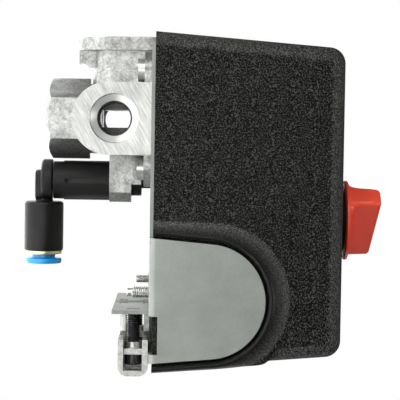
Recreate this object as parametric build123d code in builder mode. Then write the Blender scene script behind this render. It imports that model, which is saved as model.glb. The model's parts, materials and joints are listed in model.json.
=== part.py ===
from build123d import *
import os
from math import acos, atan2, cos, degrees, radians, sin, sqrt, tan

# Pressure switch for an air compressor, in millimetres.
# The origin is the centre of the bottom port's end face. +Z runs up through the port
# to the knob, +X points to the unloader fitting and the cable side.

# Manifold
PORT_REACH = 28.0
PORT_TAP_R = 5.68
PORT_TAP_DEPTH = 15.0
PORT_MOUTH_R = 8.25
PORT_MOUTH_DEPTH = 2.0
PORT_AXIS_Z = 23.8
TANK_TAP_DEPTH = 13.0
HEX_FLATS = 24.0
HEX_HEIGHT = 14.5
HEX_END_CHAMFER = 1.1
BOSS_R = 12.0
BOSS_CENTRE_Z = 21.7
COLLAR_LENGTH = 4.6
NECK_R = 8.6
EAR_LENGTH = 5.8
EAR_HALF_Y = 4.0
EAR_LOW_Z = 10.6
EAR_NOTCH_R = 2.4
CROSS_SLOT_WIDTH = 6.0
CROSS_SLOT_HEIGHT = 10.6
PASSAGE_R = 3.0
FLANGE_HALF = 22.8
FLANGE_THICK = 2.5
FLANGE_CORNER_R = 7.0
FLANGE_SCREW_X = 16.5
FLANGE_SCREW_Y = 17.0

# Base frame, bent from one sheet
SHEET = 1.2
PLATE_Z = 36.0
PLATE_LOW_X = -26.9
PLATE_HALF_Y = 30.0
BEND_R = 2.3
FLAP_FACE_Y = 34.5
FLAP_CENTRE_X = 59.6
FLAP_HALF_BASE = 20.7
FLAP_R = 18.9
FLAP_CENTRE_Z = 55.4
SHELF_X = 63.5
SHELF_LOW_Z = 23.7
SHELF_INNER_Y = 3.0
SHELF_OUTER_Y = 28.0
WINDOW_DEPTH = 13.8
BEND_NOTCH_TOP_Z = 39.0
LUG_HALF_Y = 10.0
LUG_HALF_X = 4.0

# Screws: shank radius, head radius and head height
FLANGE_SCREW = (2.0, 4.0, 2.3)
BLOCK_SCREW = (1.5, 2.75, 1.8)
EARTH_SCREW = (2.0, 3.5, 2.4)
COVER_SCREW = (1.5, 3.0, 1.6)
TERMINAL_SCREW = (1.5, 2.1, 1.6)
SCREW_CLEARANCE = 0.05
SLOT_WIDTH = 0.8
SLOT_DEPTH = 1.0

# Unloader valve and push-in elbow
VALVE_X = 21.4
VALVE_R = 6.8
VALVE_SKIRT_R = 6.5
VALVE_LOW_Z = 2.1
VALVE_SKIRT_Z = 5.6
VALVE_TOP_Z = 21.5
VALVE_SPIGOT_R = 4.5
VALVE_SPIGOT_TOP_Z = 25.2
VENT_R = 0.65
VENT_Z = 6.8
ARM_TOP_Z = 29.0
ARM_HALF_Y = 7.2
ARM_REACH_X = 28.6
ARM_CORNER = 3.4
CHEEK_PAST = 1.0
CHEEK_HEIGHT = 3.4
WEB_HALF_Y = 5.2
PLUNGER_CAP_R = 5.1
PLUNGER_CAP_Z = 27.5
PLUNGER_CAP_HEIGHT = 5.0
PLUNGER_STEM_R = 2.5
PLUNGER_ROD_R = 1.6
CHAMBER_R = 4.2
CHAMBER_LOW_Z = 11.0
CHAMBER_HEIGHT = 6.0
VALVE_SEAL_R = 3.6
VALVE_SEAL_Z = 15.2
VALVE_SEAL_THICK = 1.6
VALVE_SPRING_R = 3.0
VALVE_SPRING_WIRE = 0.6
ELBOW_AXIS_Z = -1.3
ELBOW_HUB_R = 7.15
ELBOW_HUB_LOW_Z = -2.1
ELBOW_HUB_TOP_Z = 1.75
ELBOW_SPIGOT_R = 3.0
ELBOW_SPIGOT_TOP_Z = 8.5
ELBOW_ARM_R = 3.05
ELBOW_BORE_R = 1.8
SEAL_GROOVE_Z = 4.6
SEAL_GROOVE_HEIGHT = 1.2
SEAL_GROOVE_DEPTH = 0.7
SEAL_WIRE_R = 0.33
ELBOW_ARM_BACK_X = 18.0
BARREL_R = 6.75
BARREL_LOW_X = 28.8
BARREL_HIGH_X = 45.9
BARREL_CHAMFER = 0.8
BARREL_BORE_R = 4.9
BARREL_BORE_DEPTH = 11.0
RING_R = 6.35
RING_FACE_X = 47.1
RELEASE_NECK_R = 4.0
RELEASE_FLANGE_R = 6.25
RELEASE_FLANGE_X = 48.5
RELEASE_END_X = 50.4
RELEASE_BACK_X = 42.6
TUBE_BORE_R = 3.05
GRIP_RING_X = 39.6
GRIP_RING_THICK = 1.0
TUBE_SEAL_X = 36.4
TUBE_SEAL_THICK = 2.0

# Cover
COVER_LOW_X = -28.9
COVER_HIGH_X = 82.9
COVER_HALF_Y = 32.0
COVER_HEIGHT = 63.1
COVER_DRAFT_X = 4.5
COVER_DRAFT_Y = 4.4
COVER_EDGE_R = 5.0
COVER_WALL = 2.2
POD_FACE_Y = 35.2
POD_RIM = 1.7
POD_FOOT = 6.0
FLAP_GAP = 0.8
KNOB_BOSS_R = 11.0
KNOB_BOSS_HEIGHT = 2.5
SHAFT_CLEARANCE = 0.3
POCKET_CLEARANCE = 0.1

# Knob and its cam shaft
KNOB_X = 34.0
KNOB_DISC_R = 13.8
KNOB_GAP = 0.2
KNOB_DISC_THICK = 2.7
KNOB_HEIGHT = 12.3
KNOB_TOP_CHAMFER = 1.0
KNOB_TOP_TILT = 3.7
GRIP_LENGTH = 25.8
GRIP_THICK = 7.5
GRIP_TURN = 45.0
KNOB_HUB_R = 8.0
CAM_SHAFT_R = 3.0
CAM_SHAFT_REACH = 8.0
CAM_R = 6.5
CAM_THICK = 3.0
CAM_LOBE = 0.8

# Rocker, piston and springs
DIAPHRAGM_R = 17.0
DIAPHRAGM_THICK = 1.6
PISTON_R = 10.0
PISTON_THICK = 4.0
PISTON_STEM_R = 5.0
PIVOT_X = 11.0
PIVOT_RISE = 5.8
PIN_R = 1.5
PIN_CLEARANCE = 0.05
ROCKER_RISE = 9.3
ROCKER_THICK = 2.0
ROCKER_HALF_Y = 8.5
ROCKER_LOW_X = -23.5
ROCKER_TIP_X = 47.0
ROCKER_TIP_HALF_Y = 4.0
DIFF_X = -18.0
DIFF_STUD_R = 2.0
DIFF_SPRING_R = 4.2
DIFF_SPRING_TOP_Z = 64.0
MAIN_SPRING_R = 8.0
MAIN_SPRING_TOP_Z = 75.0
BRACKET_Z = 82.0
BRACKET_HALF_X = 7.0
BRACKET_HALF_Y = 14.0
MAIN_SCREW_R = 3.0
WORK_GAP = 0.4

# Contacts
BLOCK_LOW_X = 46.0
BLOCK_HIGH_X = 62.0
BLOCK_HALF_Y = 25.0
BLOCK_RISE = 12.8
BLOCK_HEIGHT = 14.0
BLOCK_FOOT_Y = 21.5
SCREW_ROW_X = 57.7
BLOCK_SCREW_Y = 23.2
EARTH_Y = -24.0
SCREW_BELOW_PLATE = 5.6
EARTH_TIP = 1.8
EARTH_TIP_STEP = 0.6
EARTH_CLAMP_THICK = 1.5
STRIP_WIDTH = 4.5
STRIP_THICK = 1.0
POLE_INNER_Y = 7.0
POLE_OUTER_Y = 17.5
TIP_X = 51.0
TIP_R = 1.8
TIP_HEIGHT = 0.8
CONTACT_GAP = 0.05
CARRIER_THICK = 3.0
POST_X = 67.0
POST_FLATS = 5.5
POST_DROP = 6.3

# Cable clamps, one on each side
CLAMP_SCREW_Y = 22.0
CLAMP_SCREW_R = 2.25
CLAMP_HEAD_R = 2.9
CLAMP_HEAD_HEIGHT = 3.6
CLAMP_AXIS_Z = 30.9
STRAP_SHEET = 1.9
STRAP_HALF_Z = 5.0
STRAP_BACK_X = 85.3
STRAP_ARM_X = 73.1
STRAP_CORNER_R = 3.2
STRAP_INNER_Y = 3.6
STRAP_OUTER_Y = 28.6
HOOK_WIDTH = 2.6
CABLE_Y = 12.7
CABLE_R = 4.5
SADDLE_X = 78.4
SADDLE_THICK = 2.0

# Heights and places that follow
COVER_Z = PLATE_Z + SHEET
COVER_TOP_Z = COVER_Z + COVER_HEIGHT
KNOB_LOW_Z = COVER_TOP_Z + KNOB_BOSS_HEIGHT + KNOB_GAP
KNOB_TOP_Z = KNOB_LOW_Z + KNOB_HEIGHT
CAM_SHAFT_TOP_Z = KNOB_LOW_Z + CAM_SHAFT_REACH
POST_TOP_Z = COVER_TOP_Z - POST_DROP
PLATE_HIGH_X = FLAP_CENTRE_X + FLAP_HALF_BASE
FLANGE_Z = PLATE_Z - FLANGE_THICK
PIVOT_Z = COVER_Z + PIVOT_RISE
ROCKER_Z = COVER_Z + ROCKER_RISE
ROCKER_TOP_Z = ROCKER_Z + ROCKER_THICK
BLOCK_Z = COVER_Z + BLOCK_RISE
CONTACT_Z = BLOCK_Z - STRIP_THICK - TIP_HEIGHT - CONTACT_GAP
CARRIER_Z = CONTACT_Z - STRIP_THICK - CARRIER_THICK


def rod(plane, radius, length, mode=Mode.ADD):
    """A round bar, or a hole, that rises from the plane's origin."""
    with BuildSketch(plane) as disc:
        Circle(radius)
    extrude(disc.sketch, amount=length, mode=mode)


def up(x, y, z):
    """The level plane with its origin at a point."""
    return Plane((x, y, z))


def along_x(x, y, z):
    """The plane that faces +X at a point."""
    return Plane((x, y, z), x_dir=(0, 1, 0), z_dir=(1, 0, 0))


def along_y(x, y, z):
    """The plane that faces +Y at a point."""
    return Plane((x, y, z), x_dir=(-1, 0, 0), z_dir=(0, 1, 0))


def block(x, y, z, mode=Mode.ADD):
    """A box between a low and a high limit on each axis."""
    with Locations(((x[0] + x[1]) / 2, (y[0] + y[1]) / 2, (z[0] + z[1]) / 2)):
        Box(x[1] - x[0], y[1] - y[0], z[1] - z[0], mode=mode)


def save(name, builder):
    """Label the finished piece and write it."""
    builder.part.label = name
    export_step(builder.part, f"parts/{name}.step")


def tangent_point(start, centre, radius, side):
    """Where a line from start touches a circle, on its left (side 1) or right (side -1)."""
    dx = start[0] - centre[0]
    dz = start[1] - centre[1]
    reach = sqrt(dx * dx + dz * dz)
    turn = atan2(dz, dx) + side * acos(radius / reach)
    return (centre[0] + radius * cos(turn), centre[1] + radius * sin(turn))


def flap_outline(grow):
    """A D outline in X and Z: two sloping sides tangent to a round end, larger by grow."""
    centre = (FLAP_CENTRE_X, FLAP_CENTRE_Z)
    radius = FLAP_R + grow
    left = (FLAP_CENTRE_X - FLAP_HALF_BASE - grow, PLATE_Z)
    right = (FLAP_CENTRE_X + FLAP_HALF_BASE + grow, PLATE_Z)
    left_touch = tangent_point(left, centre, radius, -1)
    right_touch = tangent_point(right, centre, radius, 1)
    top = (FLAP_CENTRE_X, FLAP_CENTRE_Z + radius)
    return left, left_touch, top, right_touch, right


def flap_face(plane, grow):
    """The D outline as a face on a plane whose X is the object's X and Y its Z."""
    left, left_touch, top, right_touch, right = flap_outline(grow)
    with BuildSketch(plane) as face:
        with BuildLine():
            Line(left, left_touch)
            ThreePointArc(left_touch, top, right_touch)
            Line(right_touch, right)
            Line(right, left)
        make_face()
    return face.sketch


def coil_sleeve(x, y, low_z, high_z, radius, wire, turns):
    """A compression spring: a helical wire with closed ends, on a vertical axis."""
    pitch = (high_z - low_z - wire) / turns
    start = (x + radius - wire / 2, y, low_z + wire / 2)
    with BuildLine() as path:
        Helix(pitch, high_z - low_z - wire, radius - wire / 2, center=(x, y, low_z + wire / 2))
    with BuildSketch(Plane(start, x_dir=(1, 0, 0), z_dir=path.line % 0)) as section:
        Circle(wire / 2)
    sweep(section.sketch, path=path.line, is_frenet=True)


os.makedirs("parts", exist_ok=True)

# ---------------------------------------------------------------- manifold
with BuildPart() as manifold:
    # hex end for the spanner, with a chamfered lower rim
    with BuildSketch(Plane.XY):
        RegularPolygon(HEX_FLATS / 2, 6, major_radius=False)
    extrude(amount=HEX_HEIGHT)
    with BuildSketch(Plane.XZ):
        with BuildLine():
            corner_r = HEX_FLATS / 2 / cos(radians(30))
            Polyline(
                (HEX_FLATS / 2 - HEX_END_CHAMFER, 0),
                (corner_r + 1, 0),
                (corner_r + 1, (corner_r + 1 - HEX_FLATS / 2 + HEX_END_CHAMFER) * tan(radians(30))),
                close=True,
            )
        make_face()
    revolve(axis=Axis.Z, mode=Mode.SUBTRACT)
    # column from the hex to the flange
    rod(Plane.XY.offset(HEX_HEIGHT - 1), HEX_FLATS / 2, PLATE_Z - HEX_HEIGHT + 1)
    # bosses along Y, round below and straight up to the flange
    rod(along_y(0, -PORT_REACH, BOSS_CENTRE_Z), BOSS_R, 2 * PORT_REACH)
    block((-BOSS_R, BOSS_R), (-PORT_REACH, PORT_REACH), (BOSS_CENTRE_Z, PLATE_Z))
    # boss along -X: a collar on a narrower neck
    rod(along_x(-PORT_REACH, 0, BOSS_CENTRE_Z), BOSS_R, COLLAR_LENGTH)
    block((-PORT_REACH, COLLAR_LENGTH - PORT_REACH), (-BOSS_R, BOSS_R), (BOSS_CENTRE_Z, PLATE_Z))
    rod(along_x(-PORT_REACH, 0, PORT_AXIS_Z), NECK_R, PORT_REACH)
    block((-PORT_REACH + 1, 0), (-NECK_R, NECK_R), (PORT_AXIS_Z, PLATE_Z))
    # ear under the collar, hollowed towards the hex
    ear_x = (COLLAR_LENGTH - PORT_REACH, COLLAR_LENGTH - PORT_REACH + EAR_LENGTH)
    block((ear_x[0] - 1, ear_x[1]), (-EAR_HALF_Y, EAR_HALF_Y), (EAR_LOW_Z, PORT_AXIS_Z - NECK_R + 1))
    notch = along_y(ear_x[1] + 1, -EAR_HALF_Y - 1, EAR_LOW_Z + 1)
    rod(notch, EAR_NOTCH_R, 2 * EAR_HALF_Y + 2, Mode.SUBTRACT)
    # flange that clamps the diaphragm
    with BuildSketch(Plane.XY.offset(FLANGE_Z)):
        RectangleRounded(2 * FLANGE_HALF, 2 * FLANGE_HALF, FLANGE_CORNER_R)
    extrude(amount=FLANGE_THICK)
    # arm that carries the unloader valve
    with BuildSketch(Plane.XY.offset(VALVE_TOP_Z)):
        with BuildLine():
            Polyline(
                (0, -ARM_HALF_Y),
                (ARM_REACH_X - ARM_CORNER, -ARM_HALF_Y),
                (ARM_REACH_X, -ARM_HALF_Y + ARM_CORNER),
                (ARM_REACH_X, ARM_HALF_Y - ARM_CORNER),
                (ARM_REACH_X - ARM_CORNER, ARM_HALF_Y),
                (0, ARM_HALF_Y),
                close=True,
            )
        make_face()
    extrude(amount=ARM_TOP_Z - VALVE_TOP_Z)
    # cheeks beside the plunger, and the web that joins them to the flange
    block((0, VALVE_X + CHEEK_PAST), (-ARM_HALF_Y, ARM_HALF_Y), (ARM_TOP_Z, ARM_TOP_Z + CHEEK_HEIGHT))
    block((0, VALVE_X - PLUNGER_CAP_R - 1), (-WEB_HALF_Y, WEB_HALF_Y), (ARM_TOP_Z, PLATE_Z))
    # ports
    rod(Plane.XY, PORT_TAP_R, TANK_TAP_DEPTH, Mode.SUBTRACT)
    rod(Plane.XY, PASSAGE_R, PLATE_Z, Mode.SUBTRACT)
    for turn in (0, 90, 180):
        face_at = Vector(-PORT_REACH * sin(radians(turn)), -PORT_REACH * cos(radians(turn)), PORT_AXIS_Z)
        inward = Vector(sin(radians(turn)), cos(radians(turn)), 0)
        mouth = Plane(face_at, x_dir=(0, 0, 1), z_dir=inward)
        rod(mouth, PORT_TAP_R, PORT_TAP_DEPTH, Mode.SUBTRACT)
        with BuildSketch(mouth):
            Circle(PORT_MOUTH_R)
        with BuildSketch(mouth.offset(PORT_MOUTH_DEPTH)):
            Circle(PORT_TAP_R)
        loft(mode=Mode.SUBTRACT)
        rod(mouth, PASSAGE_R, PORT_REACH, Mode.SUBTRACT)
    slot_z = (PORT_AXIS_Z - CROSS_SLOT_HEIGHT / 2, PORT_AXIS_Z + CROSS_SLOT_HEIGHT / 2)
    cross_y = PORT_REACH - PORT_TAP_DEPTH + 1
    block((-CROSS_SLOT_WIDTH / 2, CROSS_SLOT_WIDTH / 2), (-cross_y, cross_y), slot_z, Mode.SUBTRACT)
    # seat of the diaphragm, screw holes, and room for the plunger
    rod(up(0, 0, PLATE_Z - DIAPHRAGM_THICK), DIAPHRAGM_R + 0.2, DIAPHRAGM_THICK, Mode.SUBTRACT)
    with Locations((0, 0, PLATE_Z)):
        with GridLocations(2 * FLANGE_SCREW_X, 2 * FLANGE_SCREW_Y, 2, 2):
            Hole(FLANGE_SCREW[0] + SCREW_CLEARANCE, FLANGE_THICK)
    for x_side in (-1, 1):
        for y_side in (-1, 1):
            head = up(x_side * FLANGE_SCREW_X, y_side * FLANGE_SCREW_Y, FLANGE_Z - 4)
            rod(head, FLANGE_SCREW[1] + 0.3, 4, Mode.SUBTRACT)
    rod(up(VALVE_X, 0, VALVE_TOP_Z - 1), VALVE_SPIGOT_R + SCREW_CLEARANCE, 6, Mode.SUBTRACT)
    rod(up(VALVE_X, 0, VALVE_SPIGOT_TOP_Z + 1), PLUNGER_CAP_R + WORK_GAP, 8, Mode.SUBTRACT)
    rod(up(VALVE_X, 0, ARM_TOP_Z), PLUNGER_STEM_R + 1, PLATE_Z - ARM_TOP_Z, Mode.SUBTRACT)
save("manifold", manifold)

# ---------------------------------------------------------------- flange screws
with BuildPart() as flange_screws:
    for x_side in (-1, 1):
        for y_side in (-1, 1):
            x = x_side * FLANGE_SCREW_X
            y = y_side * FLANGE_SCREW_Y
            shank_r, head_r, head_height = FLANGE_SCREW
            rod(up(x, y, FLANGE_Z - head_height), head_r, head_height)
            rod(up(x, y, FLANGE_Z), shank_r, FLANGE_THICK + 4 * SHEET)
            slot = (y - SLOT_WIDTH / 2, y + SLOT_WIDTH / 2)
            slot_low = FLANGE_Z - head_height
            block((x - head_r, x + head_r), slot, (slot_low, slot_low + SLOT_DEPTH), Mode.SUBTRACT)
save("flange_screws", flange_screws)

# ---------------------------------------------------------------- base frame
with BuildPart() as flap:
    with BuildSketch(Plane.YZ.offset(PLATE_HIGH_X - 2 * FLAP_HALF_BASE)):
        with BuildLine():
            bend_y = FLAP_FACE_Y - BEND_R
            bend_z = PLATE_Z + BEND_R
            inner_r = BEND_R - SHEET
            diagonal = sqrt(0.5)
            flap_top = FLAP_CENTRE_Z + FLAP_R
            outer_mid = (bend_y + BEND_R * diagonal, bend_z - BEND_R * diagonal)
            inner_mid = (bend_y + inner_r * diagonal, bend_z - inner_r * diagonal)
            Line((PLATE_HALF_Y - 1, PLATE_Z), (bend_y, PLATE_Z))
            ThreePointArc((bend_y, PLATE_Z), outer_mid, (FLAP_FACE_Y, bend_z))
            Line((FLAP_FACE_Y, bend_z), (FLAP_FACE_Y, flap_top))
            Line((FLAP_FACE_Y, flap_top), (FLAP_FACE_Y - SHEET, flap_top))
            Line((FLAP_FACE_Y - SHEET, flap_top), (FLAP_FACE_Y - SHEET, bend_z))
            ThreePointArc((FLAP_FACE_Y - SHEET, bend_z), inner_mid, (bend_y, PLATE_Z + SHEET))
            Line((bend_y, PLATE_Z + SHEET), (PLATE_HALF_Y - 1, PLATE_Z + SHEET))
            Line((PLATE_HALF_Y - 1, PLATE_Z + SHEET), (PLATE_HALF_Y - 1, PLATE_Z))
        make_face()
    extrude(amount=2 * FLAP_HALF_BASE)
    outline = flap_face(Plane((0, FLAP_FACE_Y + 1, 0), x_dir=(1, 0, 0), z_dir=(0, -1, 0)), 0)
    extrude(outline, amount=FLAP_FACE_Y, mode=Mode.INTERSECT)

with BuildPart() as base_frame:
    block((PLATE_LOW_X, PLATE_HIGH_X), (-PLATE_HALF_Y, PLATE_HALF_Y), (PLATE_Z, COVER_Z))
    corners = base_frame.edges().filter_by(Axis.Z)
    fillet(corners.group_by(Axis.X)[0], 3)
    add(flap.part)
    mirror(flap.part, about=Plane.XZ)
    for side in (-1, 1):
        # shelf bent down for the cable clamp, and the window it leaves
        y = sorted((side * SHELF_INNER_Y, side * SHELF_OUTER_Y))
        block((SHELF_X, SHELF_X + SHEET), y, (SHELF_LOW_Z, PLATE_Z + SHEET / 2))
        block((SHELF_X + SHEET, SHELF_X + WINDOW_DEPTH), y, (PLATE_Z - 1, COVER_Z + 1), Mode.SUBTRACT)
        notch_y = sorted((side * (SHELF_OUTER_Y - 1), side * (FLAP_FACE_Y + 1)))
        notch_z = (PLATE_Z - 1, BEND_NOTCH_TOP_Z)
        block((SHELF_X + SHEET, SHELF_X + WINDOW_DEPTH), notch_y, notch_z, Mode.SUBTRACT)
        # lug for the rocker's pin
        lug_y = sorted((side * LUG_HALF_Y, side * (LUG_HALF_Y + SHEET)))
        block((PIVOT_X - LUG_HALF_X, PIVOT_X + LUG_HALF_X), lug_y, (PLATE_Z + SHEET / 2, PIVOT_Z + 3))
        # tapped hole and hook slots of the clamp
        tapped = along_x(SHELF_X - 1, side * CLAMP_SCREW_Y, CLAMP_AXIS_Z)
        rod(tapped, CLAMP_SCREW_R + SCREW_CLEARANCE, SHEET + 2, Mode.SUBTRACT)
        hook_low = STRAP_INNER_Y - WORK_GAP
        hook_high = STRAP_INNER_Y + HOOK_WIDTH + WORK_GAP
        hook_y = sorted((side * hook_low, side * hook_high))
        for z_side in (-1, 1):
            outer_z = CLAMP_AXIS_Z + z_side * (STRAP_HALF_Z + WORK_GAP)
            inner_z = CLAMP_AXIS_Z + z_side * (STRAP_HALF_Z - STRAP_SHEET - WORK_GAP)
            hook_z = sorted((outer_z, inner_z))
            block((SHELF_X - 1, SHELF_X + SHEET + 1), hook_y, hook_z, Mode.SUBTRACT)
    lug_bore = along_y(PIVOT_X, -LUG_HALF_Y - 2 * SHEET, PIVOT_Z)
    rod(lug_bore, PIN_R + PIN_CLEARANCE, 2 * LUG_HALF_Y + 4 * SHEET, Mode.SUBTRACT)
    # holes for the piston, plunger, studs and screws
    plate_low = PLATE_Z - 2
    rod(up(0, 0, plate_low), PISTON_R + WORK_GAP, 5, Mode.SUBTRACT)
    rod(up(VALVE_X, 0, plate_low), PLUNGER_STEM_R + WORK_GAP, 5, Mode.SUBTRACT)
    rod(up(DIFF_X, 0, plate_low), DIFF_STUD_R + SCREW_CLEARANCE, 5, Mode.SUBTRACT)
    rod(up(SCREW_ROW_X, BLOCK_SCREW_Y, PLATE_Z - 1), BLOCK_SCREW[0] + 1, 1 + SHEET / 2)
    rod(up(SCREW_ROW_X, BLOCK_SCREW_Y, plate_low), BLOCK_SCREW[0] + SCREW_CLEARANCE, 5, Mode.SUBTRACT)
    rod(up(SCREW_ROW_X, EARTH_Y, plate_low), EARTH_SCREW[0] + SCREW_CLEARANCE, 5, Mode.SUBTRACT)
    for x_side in (-1, 1):
        for y_side in (-1, 1):
            hole = up(x_side * FLANGE_SCREW_X, y_side * FLANGE_SCREW_Y, plate_low)
            rod(hole, FLANGE_SCREW[0] + SCREW_CLEARANCE, 5, Mode.SUBTRACT)
save("base_frame", base_frame)

# ---------------------------------------------------------------- diaphragm and piston
with BuildPart() as diaphragm:
    rod(up(0, 0, PLATE_Z - DIAPHRAGM_THICK), DIAPHRAGM_R, DIAPHRAGM_THICK)
save("diaphragm", diaphragm)

with BuildPart() as pressure_piston:
    rod(up(0, 0, PLATE_Z + 0.05), PISTON_R, PISTON_THICK)
    rod(up(0, 0, PLATE_Z + PISTON_THICK), PISTON_STEM_R, ROCKER_Z - WORK_GAP - PLATE_Z - PISTON_THICK)
    top_rim = pressure_piston.edges().filter_by(GeomType.CIRCLE).sort_by(Axis.Z)[-1]
    chamfer(top_rim, 1)
save("pressure_piston", pressure_piston)

# ---------------------------------------------------------------- rocker
with BuildPart() as rocker_plate:
    web_x = (ROCKER_LOW_X, BLOCK_LOW_X - 6)
    block(web_x, (-ROCKER_HALF_Y, ROCKER_HALF_Y), (ROCKER_Z, ROCKER_TOP_Z))
    block((web_x[1] - 1, ROCKER_TIP_X), (-ROCKER_TIP_HALF_Y, ROCKER_TIP_HALF_Y), (ROCKER_Z, ROCKER_TOP_Z))
    for side in (-1, 1):
        ear_y = sorted((side * (ROCKER_HALF_Y - SHEET), side * ROCKER_HALF_Y))
        block((PIVOT_X - LUG_HALF_X, PIVOT_X + LUG_HALF_X), ear_y, (PIVOT_Z - 3, ROCKER_Z + 1))
    ear_bore = along_y(PIVOT_X, -ROCKER_HALF_Y - 1, PIVOT_Z)
    rod(ear_bore, PIN_R + PIN_CLEARANCE, 2 * ROCKER_HALF_Y + 2, Mode.SUBTRACT)
    rod(up(DIFF_X, 0, ROCKER_Z - 1), DIFF_STUD_R + 1, ROCKER_THICK + 2, Mode.SUBTRACT)
    rod(up(0, 0, ROCKER_TOP_Z), MAIN_SPRING_R - 3, 1.5)
save("rocker_plate", rocker_plate)

with BuildPart() as rocker_pin:
    rod(along_y(PIVOT_X, -LUG_HALF_Y - 2 * SHEET, PIVOT_Z), PIN_R, 2 * LUG_HALF_Y + 4 * SHEET)
save("rocker_pin", rocker_pin)

# ---------------------------------------------------------------- main spring and its screw
with BuildPart() as spring_bracket:
    bracket_x = (-BRACKET_HALF_X, BRACKET_HALF_X)
    block(bracket_x, (-BRACKET_HALF_Y, BRACKET_HALF_Y), (BRACKET_Z, BRACKET_Z + 3))
    for side in (-1, 1):
        leg_y = sorted((side * (BRACKET_HALF_Y - 2), side * BRACKET_HALF_Y))
        block(bracket_x, leg_y, (COVER_Z, BRACKET_Z + 1))
    rod(up(0, 0, BRACKET_Z - 1), MAIN_SCREW_R + 0.08, 5, Mode.SUBTRACT)
save("spring_bracket", spring_bracket)

with BuildPart() as main_spring:
    coil_sleeve(0, 0, ROCKER_TOP_Z + 0.05, MAIN_SPRING_TOP_Z, MAIN_SPRING_R, 2.0, 6)
save("main_spring", main_spring)

with BuildPart() as spring_cup:
    rod(up(0, 0, MAIN_SPRING_TOP_Z + 0.05), MAIN_SPRING_R + 0.5, 2)
    rod(up(0, 0, MAIN_SPRING_TOP_Z - 2), MAIN_SPRING_R - 2.4, 2.5)
save("spring_cup", spring_cup)

with BuildPart() as main_screw:
    tip_z = MAIN_SPRING_TOP_Z + 2.1
    rod(up(0, 0, tip_z), MAIN_SCREW_R, BRACKET_Z + 7 - tip_z)
    with BuildSketch(Plane.XY.offset(BRACKET_Z + 7)):
        RegularPolygon(5, 6, major_radius=False)
    extrude(amount=4)
save("main_screw", main_screw)

# ---------------------------------------------------------------- differential spring
with BuildPart() as diff_stud:
    rod(up(DIFF_X, 0, PLATE_Z + 0.05), DIFF_STUD_R, 35)
save("diff_stud", diff_stud)

with BuildPart() as diff_spring:
    coil_sleeve(DIFF_X, 0, ROCKER_TOP_Z + 0.05, DIFF_SPRING_TOP_Z, DIFF_SPRING_R, 1.0, 6)
save("diff_spring", diff_spring)

with BuildPart() as diff_cup:
    rod(up(DIFF_X, 0, DIFF_SPRING_TOP_Z + 0.05), DIFF_SPRING_R + 0.4, 1)
    rod(up(DIFF_X, 0, DIFF_SPRING_TOP_Z - 1), DIFF_STUD_R + 0.08, 4, Mode.SUBTRACT)
save("diff_cup", diff_cup)

with BuildPart() as diff_nut:
    with BuildSketch(up(DIFF_X, 0, DIFF_SPRING_TOP_Z + 1.1)):
        RegularPolygon(3.5, 6, major_radius=False)
        Circle(DIFF_STUD_R + 0.08, mode=Mode.SUBTRACT)
    extrude(amount=3.2)
save("diff_nut", diff_nut)

# ---------------------------------------------------------------- contacts
with BuildPart() as contact_block:
    block_top = BLOCK_Z + BLOCK_HEIGHT
    block((BLOCK_LOW_X, BLOCK_HIGH_X), (-BLOCK_HALF_Y, BLOCK_HALF_Y), (BLOCK_Z, block_top))
    # one foot takes the fixing screw, the other stands beside the earth screw
    foot_y = (BLOCK_FOOT_Y, BLOCK_HALF_Y)
    block((BLOCK_LOW_X, BLOCK_HIGH_X), foot_y, (COVER_Z, BLOCK_Z))
    earth_room_x = SCREW_ROW_X - EARTH_SCREW[1] - WORK_GAP
    block((BLOCK_LOW_X, earth_room_x), (-BLOCK_HALF_Y, -BLOCK_FOOT_Y), (COVER_Z, BLOCK_Z))
    earth_room_y = (-BLOCK_HALF_Y - 1, EARTH_Y + EARTH_SCREW[1] + WORK_GAP)
    block((earth_room_x, BLOCK_HIGH_X + 1), earth_room_y, (COVER_Z, block_top + 1), Mode.SUBTRACT)
    fixing = up(SCREW_ROW_X, BLOCK_SCREW_Y, COVER_Z - 1)
    rod(fixing, BLOCK_SCREW[0] + SCREW_CLEARANCE, BLOCK_HEIGHT + BLOCK_Z, Mode.SUBTRACT)
    # ribs between the terminals
    for y in (0, POLE_INNER_Y + 5.2, -POLE_INNER_Y - 5.2):
        block((BLOCK_LOW_X, BLOCK_HIGH_X), (y - 0.8, y + 0.8), (block_top - 1, block_top + 4))
    for side in (-1, 1):
        for y in (side * POLE_INNER_Y, side * POLE_OUTER_Y):
            hole = up(TIP_X + 1, y, block_top - 4)
            rod(hole, TERMINAL_SCREW[0] + SCREW_CLEARANCE, 5, Mode.SUBTRACT)
save("contact_block", contact_block)

with BuildPart() as fixed_contacts:
    for y in (-POLE_OUTER_Y, -POLE_INNER_Y, POLE_INNER_Y, POLE_OUTER_Y):
        half = STRIP_WIDTH / 2
        strip_y = (y - half, y + half)
        strip_end = BLOCK_HIGH_X + STRIP_THICK
        block((TIP_X - 3, strip_end), strip_y, (block_top, block_top + STRIP_THICK))
        block((BLOCK_HIGH_X, strip_end), strip_y, (BLOCK_Z - STRIP_THICK, block_top + STRIP_THICK))
        block((TIP_X - half, strip_end), strip_y, (BLOCK_Z - STRIP_THICK, BLOCK_Z))
        rod(up(TIP_X, y, BLOCK_Z - STRIP_THICK - TIP_HEIGHT), TIP_R, TIP_HEIGHT)
        rod(up(TIP_X + 1, y, block_top - 1), TERMINAL_SCREW[0] + SCREW_CLEARANCE, 4, Mode.SUBTRACT)
save("fixed_contacts", fixed_contacts)

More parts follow.
